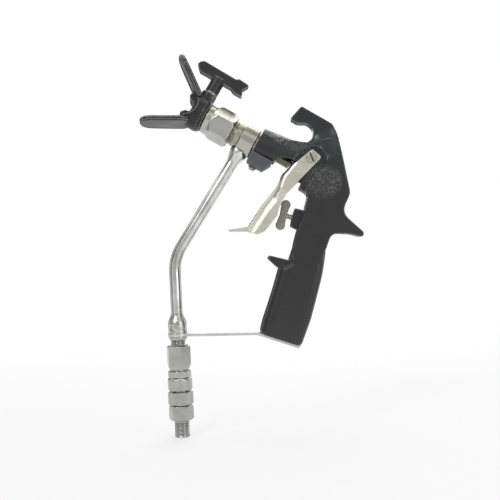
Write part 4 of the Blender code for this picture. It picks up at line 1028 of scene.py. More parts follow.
class Finishes:
    """Every material of the gun, made once."""

    def __init__(self) -> None:
        """Builds them."""
        # The coat's upper colour is a painted cooler tint for the light that its upper part reflects.
        self.coat = CastPaint("black_coat", (0.020, 0.020, 0.021), (0.20, 0.19, 0.18), (0.016, 0.022, 0.024),
                              0.26, panels=CAST_PANELS).build()
        self.block = CastPaint("block_coat", (0.075, 0.086, 0.095), (0.16, 0.17, 0.18), (0.075, 0.086, 0.095),
                               0.42).build()
        # The nylon's second colour is the painted highlight on its edges.
        self.plastic = MouldedPlastic("black_nylon", (0.026, 0.026, 0.027), (0.30, 0.30, 0.30), 0.30).build()
        # Painted reflection: the ribbed panels are black nylon, coloured light grey for the white they mirror
        # at a grazing angle.
        self.ribs = MouldedPlastic("ribbed_nylon_painted_sheen", (0.24, 0.24, 0.24), (0.3, 0.3, 0.3), 0.30).build()
        self.seal = SealPlastic("seal_plastic", (0.75, 0.73, 0.66), (0.62, 0.60, 0.52)).build()
        self.nozzle_nickel = PlatedMetal("nozzle_nickel", (0.50, 0.50, 0.48), (0.40, 0.39, 0.29), 0.20,
                                         turn=BARREL_TURN).build()
        self.nickel = PlatedMetal("nickel", (0.46, 0.46, 0.45), (0.34, 0.335, 0.30), 0.20).build()
        self.chrome = PlatedMetal("chrome", (0.74, 0.74, 0.74), (0.42, 0.41, 0.38), 0.13, 0.08, 0.006,
                                  (900.0, 900.0, 60.0)).build()
        self.upset = PlatedMetal("upset_steel", (0.60, 0.60, 0.57), (0.22, 0.21, 0.18), 0.26, 0.16, 0.06,
                                 (500.0, 500.0, 300.0), patina=260.0).build()
        self.steel = PlatedMetal("steel", (0.42, 0.415, 0.34), (0.27, 0.26, 0.19), 0.26,
                                 turn=BARREL_TURN).build()
        self.strip = PlatedMetal("strip_steel", (0.66, 0.66, 0.66), (0.46, 0.46, 0.46), 0.34, 0.10, 0.012,
                                 (60.0, 900.0, 900.0)).build()
        self.sheet = PlatedMetal("trigger_nickel", (0.80, 0.80, 0.72), (0.62, 0.60, 0.48), 0.25, 0.12, 0.010,
                                 (70.0, 900.0, 900.0), (0.0, math.radians(-50), 0.0)).build()
        # The screw's hollows take painted shade.
        self.screw = PlatedMetal("screw_nickel", (0.62, 0.62, 0.55), (0.40, 0.40, 0.32), 0.24,
                                 painted_hollow_shade=True).build()
        self.lever = PlatedMetal("lever_steel", (0.30, 0.30, 0.245), (0.22, 0.22, 0.17), 0.46, 0.10, 0.014,
                                 (300.0, 300.0, 300.0)).build()


# Sub-assemblies


@dataclass
class Assembly:
    """A group of pieces that is built and dressed together.

    Attributes:
        nodes: The CAD nodes by name.
        finishes: The gun's materials.
    """

    nodes: dict[str, Object]
    finishes: Finishes

    def dress(self, piece: Object, material: Material, body: str, slot: str,
              *replaced: str) -> Object:
        """Gives a new piece its material and fixes it to its body.

        Args:
            piece: The finished piece.
            material: Its finish.
            body: CAD body that it moves with.
            slot: Name of the piece's material slot; not used.
            *replaced: CAD nodes that it stands for.

        Returns:
            The piece.
        """
        piece.data.materials.clear()
        piece.data.materials.append(material)
        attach(piece, body)
        if replaced:
            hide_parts(*replaced)
        LOG.info("%s on %s: %d faces", piece.name, body, len(piece.data.polygons))
        return piece

    def repaint(self, material: Material, *names: str) -> None:
        """Gives CAD nodes that stay a better material.

        Args:
            material: The finish.
            *names: The nodes.
        """
        for name in names:
            for place in self.nodes[name].material_slots:
                place.material = material
            LOG.info("%s keeps its solid in %s", name, material.name)


@dataclass(frozen=True)
class Wing:
    """The recessed panel of one of the guard's wings. Sizes are in millimetres, along the wing from its root.

    Attributes:
        name: Which wing.
        root: Where it starts, from the nozzle's point along and above the nozzle line.
        angle: Its slope over that line, in radians.
        inner: Side that faces the spray: 1 above it, -1 below.
        length: Its length.
        half: Half its width.
        rail: Width of its raised rim.
        thickness: Its thickness.
        recess: Depth of its panel below the rim.
        rib: From rib to rib across the panel.
        rib_height: Height of a rib.
        root_depth: How far the ribs' foot lies in the panel.
    """

    name: str
    root: tuple[float, float]
    angle: float
    inner: int
    length: float = 37.0
    half: float = 16.0
    rail: float = 3.0
    thickness: float = 4.8
    recess: float = 0.9
    rib: float = 1.0
    rib_height: float = 0.35
    root_depth: float = 0.3

    def place(self) -> Place:
        """Axes with x forward along the wing, y across it and z out of its inner side."""
        along, rise, side = (np.array(axis) for axis in (ALONG, HEAD_RISE, HEAD_SIDE))
        start = np.array(NOZZLE_POINT) + along * self.root[0] + rise * self.root[1]
        forward = -(math.cos(self.angle) * along - math.sin(self.angle) * rise)
        out = self.inner * (math.sin(self.angle) * along + math.cos(self.angle) * rise)
        return Place(tuple(start), tuple(forward), tuple(side), tuple(out))

    def panel(self) -> Solid:
        """The plate that closes the wing inside its rim, sunk on the inner side."""
        far, wide = self.length - self.rail + 1.0, self.half - self.rail + 1.0
        tip = wide * 0.93
        corners = ((0.0, -wide, 0.0), (0.0, wide, 0.0), (far, tip, 8.0), (far, -tip, 8.0))
        low = -self.thickness / 2 + 0.2
        return Solid.prism(self.place(), filleted(corners, True, 8), low, self.thickness / 2 - self.recess)

    def ribs(self) -> Object:
        """Fine ribs across the panel: rib_height |cos(pi x / rib)| over it, eased out at their ends."""
        start, end = 3.0, self.length - self.rail - 1.0
        wide = (self.half - self.rail) * 0.86
        x = np.linspace(start, end, int((end - start) / self.rib * 8))[:, None]
        y = np.linspace(-wide, wide, 9)[None, :]
        base = self.thickness / 2 - self.recess - self.root_depth
        ends = eased(0.0, 1.0, (wide - np.abs(y)) / 0.8)
        top = base + self.root_depth + self.rib_height * np.abs(np.cos(math.pi * x / self.rib)) * ends
        over = np.stack((*np.broadcast_arrays(x, y), top), -1)
        under = np.stack((*np.broadcast_arrays(x, y[:, ::-1]), np.full_like(top, base - self.root_depth)), -1)
        grid = self.place().world(np.concatenate((over, under), 1))
        return grid_object(self.name + "_wing_ribs", grid, Ends.POLES)


@dataclass
class NozzleHead(Assembly):
    """Retaining nut, winged guard and reversible tip. Sizes are in millimetres along the nozzle line.

    Attributes:
        collar_radius: Outside of the nut's round collar.
        collar_length: Height of the collar.
        nut_length: Height of the whole nut.
        flats: Across the nut's flats.
        thread_radius: Outside of the nose thread, which the nut clears by gap.
        neck_radius: Outside of the guard's neck.
        gap: Clearance between pieces.
        nose: Outline of the guard's nose, which frames the spray mouth.
        nose_half_width: Half its width.
        mouth_radius: Radius of the mouth.
        arrow_outline: Outline of the tip's handle, from the stem's axis.
        arrow_half: Half its thickness.
        arrow_neck: Radius of its neck, which sleeves the stem.
        tower_top: Height of the tower that the stem stands in.
        stem_high: Height of the stem's top.
        front_share: Radius of the flat front of the nut's hexagon, as a share of flats.
        scallop: Angle at which its front corners are turned off, in radians.
        wings: The two wings.
    """

    collar_radius: float = 13.2
    collar_length: float = 6.6
    nut_length: float = 25.9
    flats: float = 27.0
    thread_radius: float = 11.11
    neck_radius: float = 8.9
    gap: float = 0.3
    nose: tuple = (
        (-8.0, 12.4, 0.0), (-19.6, 12.4, 2.5), (-20.8, 8.2, 2.0), (-17.8, 4.7, 2.5), (-14.0, 4.4, 2.5),
        (-14.0, -4.4, 2.5), (-17.8, -4.7, 2.5), (-20.8, -8.2, 2.0), (-19.6, -12.4, 2.5), (-8.0, -12.4, 0.0))
    nose_half_width: float = 9.0
    mouth_radius: float = 4.2
    arrow_outline: tuple = (
        (-22.6, 38.0, 1.0), (-21.2, 40.6, 1.5), (-18.4, 42.8, 1.5), (13.2, 41.8, 1.5), (16.0, 43.6, 1.0),
        (26.4, 42.6, 1.2), (22.8, 36.2, 2.5), (25.4, 30.4, 1.2), (16.8, 30.6, 1.0), (13.4, 32.4, 2.0),
        (-17.6, 32.8, 2.0))
    arrow_half: float = 4.0
    arrow_neck: float = 5.95
    tower_top: float = 20.4
    stem_high: float = 36.0
    front_share: float = 0.485
    scallop: float = math.radians(32)
    wings: tuple = (
        Wing("upper", (-16.2, 14.4), math.radians(37), -1),
        Wing("lower", (-15.6, -13.6), math.radians(-29), 1))

    def build(self) -> None:
        """Builds and dresses every piece of the head."""
        self.dress(self.nut(), self.finishes.nozzle_nickel, "nut", "nickel", "retaining_nut")
        guard = self.guard().skinned("winged_guard", cell=0.42, smoothing=3)
        self.dress(guard, self.finishes.plastic, "guard", "black_plastic", "tip_guard")
        for wing in self.wings:
            # The ribs take the light grey nylon, a painted reflection.
            self.dress(wing.ribs(), self.finishes.ribs, "guard", "black_plastic")
        handle = self.arrow().skinned("arrow_handle", cell=0.30, smoothing=3)
        self.dress(handle, self.finishes.plastic, "tip", "black_plastic", "tip_handle")
        self.repaint(self.finishes.nozzle_nickel, "tip_barrel")
        self.repaint(self.finishes.steel, "tip_orifice", "tip_seal")
        self.repaint(self.finishes.seal, "tip_gasket")

    def guard(self) -> Solid:
        """The guard's solid with its two-pronged nose, and with a recessed panel in each wing."""
        solid = Solid.of(self.nodes["tip_guard"])
        for wing in self.wings:
            solid.join(wing.panel())
        half = self.nose_half_width
        solid.join(Solid.prism(HEAD, filleted(self.nose, True, 6), -half, half))
        along = Place(NOZZLE_POINT, HEAD_SIDE, HEAD_RISE, ALONG)
        return solid.cut(Solid.prism(along, circle(self.mouth_radius, 48), -26.0, TIP_OFFSET))

    def arrow(self) -> Solid:
        """The arrow-shaped handle with its neck down to the guard's tower."""
        solid = Solid.prism(TIP, filleted(self.arrow_outline, True, 6), -self.arrow_half, self.arrow_half)
        solid.join(Solid.prism(STEM, circle(self.arrow_neck, 72), self.tower_top + self.gap, self.stem_high))
        return solid

    def nut(self) -> Object:
        """The guard's nut: a collar and a hexagon, both turned off at their outer edges."""
        bore = self.thread_radius + self.gap
        opening = self.neck_radius + self.gap
        shoulder, end, collar = self.collar_length, self.nut_length, self.collar_radius
        reach, face = self.flats / math.sqrt(3), self.flats * self.front_share
        cone = (reach + 0.2 - face) / math.tan(self.scallop)
        corners = [
            (opening, self.gap, 0.2), (collar - 0.8, self.gap, 0.5), (collar, 1.1, 0.5),
            (collar, shoulder - 1.0, 0.4), (face, shoulder - 0.9, 0.1),
            (reach + 0.2, shoulder - 0.9 + cone, 0.3), (reach + 0.2, end - 2.6, 0.2), (reach - 1.7, end, 0.2),
            (bore + 0.6, end, 0.1), (bore, end - 0.6, 0.1), (bore, shoulder, 0.1), (opening, shoulder, 0.1),
        ]
        return turned("guard_nut", BARREL, corners, Ends.LOOP, self.flats, math.radians(10), None, 240, 0.5)


@dataclass
class Valve(Assembly):
    """Diffuser, fluid housing, packing nut and the needle with its nuts, along the nozzle line.

    Attributes:
        front: Where the diffuser starts.
        nose_end: Where it ends against the housing.
        nose_radius: Outside of its thread.
        nose_bore: Its bore.
        spigot_radius: Outside of its rear spigot.
        spigot_end: Where the spigot ends.
        housing_radius: Outside of the fluid housing.
        housing_end: Where its wide part ends.
        clamp_radius: Outside of its rear spigot.
        clamp_end: Where that ends.
        chamber: Its bore.
        packing_front: Where the packing nut starts.
        packing_step: Where its adjusting thread starts.
        packing_end: Where that ends.
        gap: Clearance between pieces.
    """

    front: float = 9.5
    nose_end: float = 34.6
    nose_radius: float = 11.11
    nose_bore: float = 3.0
    spigot_radius: float = 8.0
    spigot_end: float = 37.0
    housing_radius: float = 13.3
    housing_end: float = 48.7
    clamp_radius: float = 11.0
    clamp_end: float = 64.0
    chamber: float = 6.5
    packing_front: float = 62.3
    packing_step: float = 70.8
    packing_end: float = 83.2
    gap: float = 0.3

    def build(self) -> None:
        """Builds and dresses every piece of the valve."""
        finish = self.finishes
        self.dress(self.diffuser(), finish.steel, "gun", "steel", "diffuser")
        self.dress(self.housing(), finish.nozzle_nickel, "gun", "nickel", "fluid_housing")
        self.dress(self.packing_nut(), finish.steel, "gun", "steel", "packing_nut")
        self.repaint(finish.steel, "valve_seat", "needle", "needle_spring")
        self.repaint(finish.nozzle_nickel, "pull_nut", "jam_nut")
        self.repaint(finish.seal, "packing")

    def diffuser(self) -> Object:
        """The nose, threaded where it shows between the nut and the housing."""
        thread = Thread(23.0, 30.6, 1.81, 0.95, self.nose_radius)
        corners = [
            (self.nose_bore, self.front, 0.1), (self.nose_radius - 0.8, self.front, 0.2),
            (self.nose_radius, self.front + 0.8, 0.2), (self.nose_radius, self.nose_end, 0.15),
            (self.spigot_radius, self.nose_end, 0.1), (self.spigot_radius, self.spigot_end, 0.1),
            (self.nose_bore, self.spigot_end, 0.1),
        ]
        return turned("threaded_nose", BARREL, corners, Ends.LOOP, thread=thread, sides=180, seam=70.0)

    def housing(self) -> Object:
        """The round housing with eased rims and a shallow turned groove behind its front rim."""
        front = self.nose_end + self.gap
        r = self.housing_radius
        corners = [
            (self.spigot_radius + self.gap, front, 0.1), (r - 0.7, front, 0.35), (r, front + 0.7, 0.35),
            (r, self.housing_end - 0.7, 0.35), (r - 0.7, self.housing_end, 0.35),
            (self.clamp_radius, self.housing_end, 0.2), (self.clamp_radius, self.clamp_end, 0.2),
            (self.chamber, self.clamp_end, 0.1), (self.chamber, self.spigot_end + self.gap, 0.1),
            (self.spigot_radius + self.gap, self.spigot_end + self.gap, 0.1),
        ]
        return turned("valve_housing", BARREL, corners, Ends.LOOP, sides=160)

    def packing_nut(self) -> Object:
        """The packing nut with its adjusting thread behind the barrel."""
        thread = Thread(self.packing_step, self.packing_end - 0.4, 1.25, 0.55, 4.8)
        corners = [
            (2.8, self.packing_front, 0.1), (6.2, self.packing_front, 0.2), (6.2, self.packing_step, 0.3),
            (4.8, self.packing_step, 0.1), (4.8, self.packing_end - 0.6, 0.1), (4.2, self.packing_end, 0.1),
            (2.8, self.packing_end, 0.1),
        ]
        return turned("packing_screw", BARREL, corners, Ends.LOOP, thread=thread, sides=96)


@dataclass
class FluidLine(Assembly):
    """Tube, its brazed ends and the guard strip. Sizes are in millimetres.

    Attributes:
        port: Where the tube's line meets the needle's line.
        lean: Slope of the tube's upper run from the vertical.
        bend_radius: Radius of its one bend.
        radius: Outside of the tube.
        top_depth: Depth of its top below the needle's line.
        bottom: Height of its lower end.
        flare_top: Height where the upset end starts.
        flare_end: Height where it is full.
        fitting_radius: Its full radius.
        shoulder: Height of its shoulder on the strip.
        thread_radius: Outside of the pipe thread.
        thread_end: Height of the thread's end.
        flare_radius: Radius of the brazed flare at the tube's top.
        flare_depths: Depths below the needle's line where that flare starts and ends.
        strip_top: Height of the top of the strip's eye.
        strip_thickness: Thickness of the strip.
    """

    port: float = 40.0
    lean: float = math.radians(33.9)
    bend_radius: float = 39.0
    radius: float = 5.0
    top_depth: float = 9.0
    bottom: float = -29.9
    flare_top: float = -20.4
    flare_end: float = -29.4
    fitting_radius: float = 8.05
    shoulder: float = -37.7
    thread_radius: float = 6.58
    thread_end: float = -60.0
    flare_radius: float = 7.9
    flare_depths: tuple[float, float] = (11.5, 25.0)
    strip_top: float = -38.0
    strip_thickness: float = 2.0

    def build(self) -> None:
        """Builds and dresses every piece of the line."""
        finish = self.finishes
        self.dress(self.tube(), finish.chrome, "gun", "chrome", "fluid_tube")
        self.dress(self.ferrule(), finish.chrome, "gun", "nickel", "tube_ferrule")
        self.dress(self.fitting(), finish.upset, "gun", "nickel", "tube_fitting")
        self.dress(self.ring(), finish.nickel, "gun", "nickel", "strip_ring")
        strip = skin("hand_guard_strip", self.nodes["guard_strip"], cell=0.34, smoothing=1, swell=0.30)
        self.dress(strip, finish.strip, "gun", "steel", "guard_strip")
        self.dress(self.heel_screw(), finish.strip, "gun", "steel", "strip_screw")

    def start(self) -> np.ndarray:
        """X and Z where the tube's line meets the needle's."""
        origin = np.array((NOZZLE_POINT[0], NOZZLE_POINT[2]))
        return origin + np.array((ALONG[0], ALONG[2])) * self.port

    def heading(self) -> np.ndarray:
        """X and Z of the direction down the tube's upper run."""
        return np.array((-math.sin(self.lean), -math.cos(self.lean)))

    def tube(self) -> Object:
        """The tube along a straight run, an arc and a straight run."""
        start, down = self.start(), self.heading()
        drop = (start[0] - STACK.origin[0]) / math.sin(self.lean)
        corner = start + down * drop
        reach = self.bend_radius * math.tan(self.lean / 2)
        angles = np.linspace(math.pi - self.lean, math.pi, 25)
        centre = np.array((STACK.origin[0] + self.bend_radius, corner[1] - reach))
        bend = centre + self.bend_radius * np.stack((np.cos(angles), np.sin(angles)), -1)
        upper = start + down * np.linspace(self.top_depth, drop - reach, 40, endpoint=False)[:, None]
        lower = np.linspace(bend[-1], (STACK.origin[0], self.bottom), 30)[1:]
        route = np.vstack((upper, bend, lower))
        return swept("feed_tube", route, np.full(len(route), self.radius))

    def ferrule(self) -> Object:
        """The flare at the tube's top, from the housing's wall down to the tube in one ogee."""
        start, end = self.flare_depths
        depths = np.linspace(start, end, 28)
        radii = eased(self.flare_radius, self.radius + 0.12, (depths - start - 1.0) / (end - start - 2.0))
        route = self.start() + self.heading() * depths[:, None]
        return swept("tube_flare", route, radii)

    def fitting(self) -> Object:
        """The upset end: an ogee out of the tube, a straight barrel and the pipe thread."""
        heights = np.linspace(self.flare_top, self.flare_end, 12)
        share = (self.flare_top - heights) / (self.flare_top - self.flare_end)
        radii = eased(self.radius + 0.15, self.fitting_radius, share)
        ogee = [(float(r), float(h), 0.0) for r, h in zip(radii, heights)]
        thread = Thread(self.thread_end, self.shoulder - 1.0, PIPE_PITCH, PIPE_DEPTH, self.thread_radius)
        corners = [
            (3.0, self.flare_top, 0.0), *ogee, (self.fitting_radius, self.shoulder, 0.4),
            (self.thread_radius, self.shoulder, 0.1), (self.thread_radius, self.thread_end + 0.7, 0.1),
            (self.thread_radius - 0.7, self.thread_end, 0.1), (3.0, self.thread_end, 0.1),
        ]
        return turned("tube_end", STACK, corners, Ends.LOOP, thread=thread, sides=112)

    def heel_screw(self) -> Object:
        """The screw that holds the strip in the heel of the grip, its head flush with the strip."""
        head = -0.3 - self.strip_thickness - 0.4
        corners = [
            (0.0, head + 0.5, 0.0), (1.3, head + 0.5, 0.1), (1.6, head, 0.1), (3.6, head, 0.1),
            (2.0, head + 1.6, 0.1), (2.0, 12.0, 0.2), (0.0, 12.0, 0.0),
        ]
        return turned("heel_screw", HEEL, corners, Ends.POLES, sides=64)

    def ring(self) -> Object:
        """The round nut under the strip's eye."""
        top = self.strip_top - self.strip_thickness - 0.6
        bore = self.thread_radius + 0.3
        low, r = top - 3.0, 8.0
        corners = [(bore, top, 0.1), (r, top, 0.3), (r, top - 1.2, 0.5), (r - 0.7, low, 0.4), (bore, low, 0.1)]
        return turned("eye_nut", STACK, corners, Ends.LOOP, sides=96)


@dataclass
class HoseSwivel(Assembly):
    """Coupling nut and swivel under the tube, from the top down. Sizes are in millimetres.

    Attributes:
        top: Height of the coupling nut's top.
        nut_length: Its height.
        collar_gap: From the nut down to the spindle's collar.
        collar_length: Height of that collar.
        sleeve_length: Height of the turning sleeve.
        body_length: Height of the hexagonal block.
        nipple_length: Height of the inlet's hexagon.
        neck_length: Height of the neck under it.
        thread_length: Height of its thread.
        flats: Across the flats of the three hexagons.
        stem_radius: Outside of the spindle.
        collar_radius: Outside of the spindle's collar.
        sleeve_radius: Outside of the turning sleeve.
        thread_radius: Outside of the pipe threads.
        bore: Radius of the way through.
        gap: Clearance between pieces.
        floor: Thickness of the coupling nut's floor.
        tube_reach: How far the tube's thread reaches into the nut.
        seal: Thickness of the seal under it.
        roof: Thickness of the sleeve's roof.
        flange: Height of the spindle's lower flange.
        neck_drop: From the sleeve's roof down to the block's neck, less the gap.
        socket: Depth of the block's socket for the inlet.
        spigot: Height of the inlet's spigot in it.
    """

    top: float = -48.6
    nut_length: float = 20.4
    collar_gap: float = 1.3
    collar_length: float = 5.7
    sleeve_length: float = 11.4
    body_length: float = 11.7
    nipple_length: float = 13.2
    neck_length: float = 0.9
    thread_length: float = 13.9
    flats: float = 19.05
    stem_radius: float = 5.6
    collar_radius: float = 10.0
    sleeve_radius: float = 10.6
    thread_radius: float = 6.58
    bore: float = 3.0
    gap: float = 0.3
    floor: float = 3.4
    tube_reach: float = 11.4
    seal: float = 1.8
    roof: float = 3.0
    flange: float = 2.8
    neck_drop: float = 5.9
    socket: float = 4.8
    spigot: float = 4.2

    def build(self) -> None:
        """Builds and dresses every piece of the swivel."""
        finish = self.finishes
        nut_end = self.top - self.nut_length
        collar_top = nut_end - self.collar_gap
        sleeve_top = collar_top - self.collar_length - self.gap
        body_top = sleeve_top - self.sleeve_length - self.gap
        nipple_top = body_top - self.body_length - self.gap
        self.dress(self.coupling(nut_end), finish.nickel, "gun", "nickel", "coupling_nut")
        self.dress(self.stem(nut_end, collar_top, sleeve_top), finish.nickel, "gun", "nickel", "swivel_stem")
        self.dress(self.sleeve(sleeve_top), finish.nickel, "swivel", "nickel", "swivel_sleeve")
        self.dress(self.block(body_top), finish.nickel, "swivel", "nickel", "swivel_body")
        self.dress(self.nipple(nipple_top), finish.nickel, "swivel", "nickel", "inlet_nipple")
        self.repaint(finish.seal, "coupling_seal", "swivel_seal")

    def hexagon(self, name: str, low: float, high: float, bore: float, turn: float,
                ends: tuple[tuple[float, float], tuple[float, float]],
                extra: tuple[list[Corner], list[Corner]] = ((), ()), thread: Thread | None = None) -> Object:
        """A hexagon whose ends are turned to cones, with a bore.

        Args:
            name: Name of the piece.
            low: Height of its lower end.
            high: Height of its upper end.
            bore: Radius of its bore.
            turn: Direction of a corner, in degrees.
            ends: Radius where the flat of the lower and of the upper end stops, and the length of its cone.
            extra: Corners of what stands below and above it, from the bore outwards.
            thread: Thread on what stands below.

        Returns:
            The piece.
        """
        reach = self.flats / math.sqrt(3) + 0.2
        (foot, below), (head, above) = ends
        lower = extra[0] or [(bore, low, 0.15)]
        upper = extra[1] or [(bore, high, 0.15)]
        corners = [*lower, (foot, low, 0.15), (reach, low + below, 0.2), (reach, high - above, 0.2),
                   (head, high, 0.15), *reversed(upper)]
        return turned(name, STACK, corners, Ends.LOOP, self.flats, math.radians(turn), thread, 240, 0.5)

    def coupling(self, low: float) -> Object:
        """The coupling nut: deep chamfer below, slight one above, over the fitting's thread."""
        wide = self.thread_radius + self.gap
        throat = self.stem_radius + self.gap
        step = low + self.floor
        extra = [(throat, step, 0.1), (throat, low, 0.3)], [(wide, step, 0.1), (wide, self.top, 0.3)]
        return self.hexagon("swivel_nut", low, self.top, throat, 44.0, ((8.6, 6.0), (9.3, 1.1)), extra)

    def stem(self, nut_end: float, collar_top: float, sleeve_top: float) -> Object:
        """The spindle with its faceted collar.

        Args:
            nut_end: Height of the coupling nut's lower end.
            collar_top: Height of the collar's top.
            sleeve_top: Height of the sleeve's top.

        Returns:
            The piece.
        """
        bore, neck = self.bore - 0.5, self.stem_radius - 1.0
        flange = self.thread_radius - self.gap
        head_top = self.top - self.tube_reach - self.seal - 2 * self.gap
        head_end = nut_end + self.floor + self.gap
        collar_end = collar_top - self.collar_length
        flange_top = sleeve_top - self.roof - self.gap
        flange_end = flange_top - self.flange
        r, stem = self.collar_radius, self.stem_radius
        corners = [
            (bore, head_top, 0.1), (flange, head_top, 0.2), (flange, head_end, 0.1), (stem, head_end, 0.1),
            (stem, collar_top, 0.2), (r - 0.8, collar_top, 0.2), (r, collar_top - 0.7, 0.2),
            (r, collar_end + 0.5, 0.2), (r - 0.5, collar_end, 0.2),
            (neck, collar_end, 0.1), (neck, flange_top, 0.1), (flange, flange_top, 0.1),
            (flange, flange_end, 0.1), (bore, flange_end, 0.1),
        ]
        flats = 2 * r * 0.93
        return turned("swivel_spindle", STACK, corners, Ends.LOOP, flats, math.radians(14), None, 240, 0.5)

    def sleeve(self, top: float) -> Object:
        """The round sleeve, swelling slightly, with broad eased rims."""
        low = top - self.sleeve_length
        opening = self.stem_radius - 1.0 + self.gap
        inner, roof = self.thread_radius + self.gap, top - self.roof
        r = self.sleeve_radius
        corners = [
            (opening, top, 0.1), (r - 1.3, top, 0.5), (r, top - 1.3, 0.9), (r, low + 1.3, 0.9),
            (r - 1.3, low, 0.5), (inner, low, 0.1), (inner, roof, 0.1), (opening, roof, 0.1),
        ]
        return turned("swivel_cap", STACK, corners, Ends.LOOP, sides=144)

    def block(self, top: float) -> Object:
        """The hexagonal block under the sleeve, with its neck."""
        low = top - self.body_length
        neck_top = top + self.gap + self.sleeve_length - self.roof - self.neck_drop + self.gap
        bore, neck, wide, ledge = self.bore, self.thread_radius, self.stem_radius - 0.3, low + self.socket
        lower = [(bore, ledge, 0.1), (wide, ledge, 0.1), (wide, low, 0.1)]
        upper = [(bore, neck_top, 0.1), (neck, neck_top, 0.1), (neck, top, 0.1)]
        return self.hexagon("swivel_block", low, top, bore, 7.0, ((9.5, 1.0), (8.9, 1.6)), (lower, upper))

    def nipple(self, top: float) -> Object:
        """The inlet: a hexagon over a neck and the male pipe thread that the hose takes."""
        low = top - self.nipple_length
        step = low - self.neck_length
        end = step - self.thread_length
        r, spigot, peak = self.thread_radius, self.stem_radius - 0.3 - self.gap, top + self.spigot
        thread = Thread(end + 0.7, step, PIPE_PITCH, PIPE_DEPTH, r)
        lower = [(self.bore, end, 0.2), (r - 0.9, end, 0.2), (r, end + 0.9, 0.2), (r, step, 0.1),
                 (r - 0.7, step, 0.1), (r - 0.7, low, 0.1)]
        upper = [(self.bore, peak, 0.1), (spigot, peak, 0.1), (spigot, top, 0.1)]
        cone = 8.8, 1.9
        return self.hexagon("hose_nipple", low, top, self.bore, 54.0, (cone, cone), (lower, upper), thread)


@dataclass
class Handle(Assembly):
    """The casting, with its hook, barrel and grip, and the block clamped under its barrel."""

    def build(self) -> None:
        """Builds and dresses the casting and the block."""
        flank = Blend((30.0, 121.0), (17.0, 15.0), kept=(*PIVOT, 10.5), core=5.5, rounds=400)
        casting = skin("cast_handle", self.nodes["handle_body"], cell=0.70, smoothing=3, blends=(flank,))
        self.dress(casting, self.finishes.coat, "gun", "black_paint", "handle_body")
        block = skin("barrel_block", self.nodes["clamp_block"], cell=0.40, smoothing=4)
        self.dress(block, self.finishes.block, "gun", "block_metal", "clamp_block")
        self.repaint(self.finishes.steel, "clamp_screw")


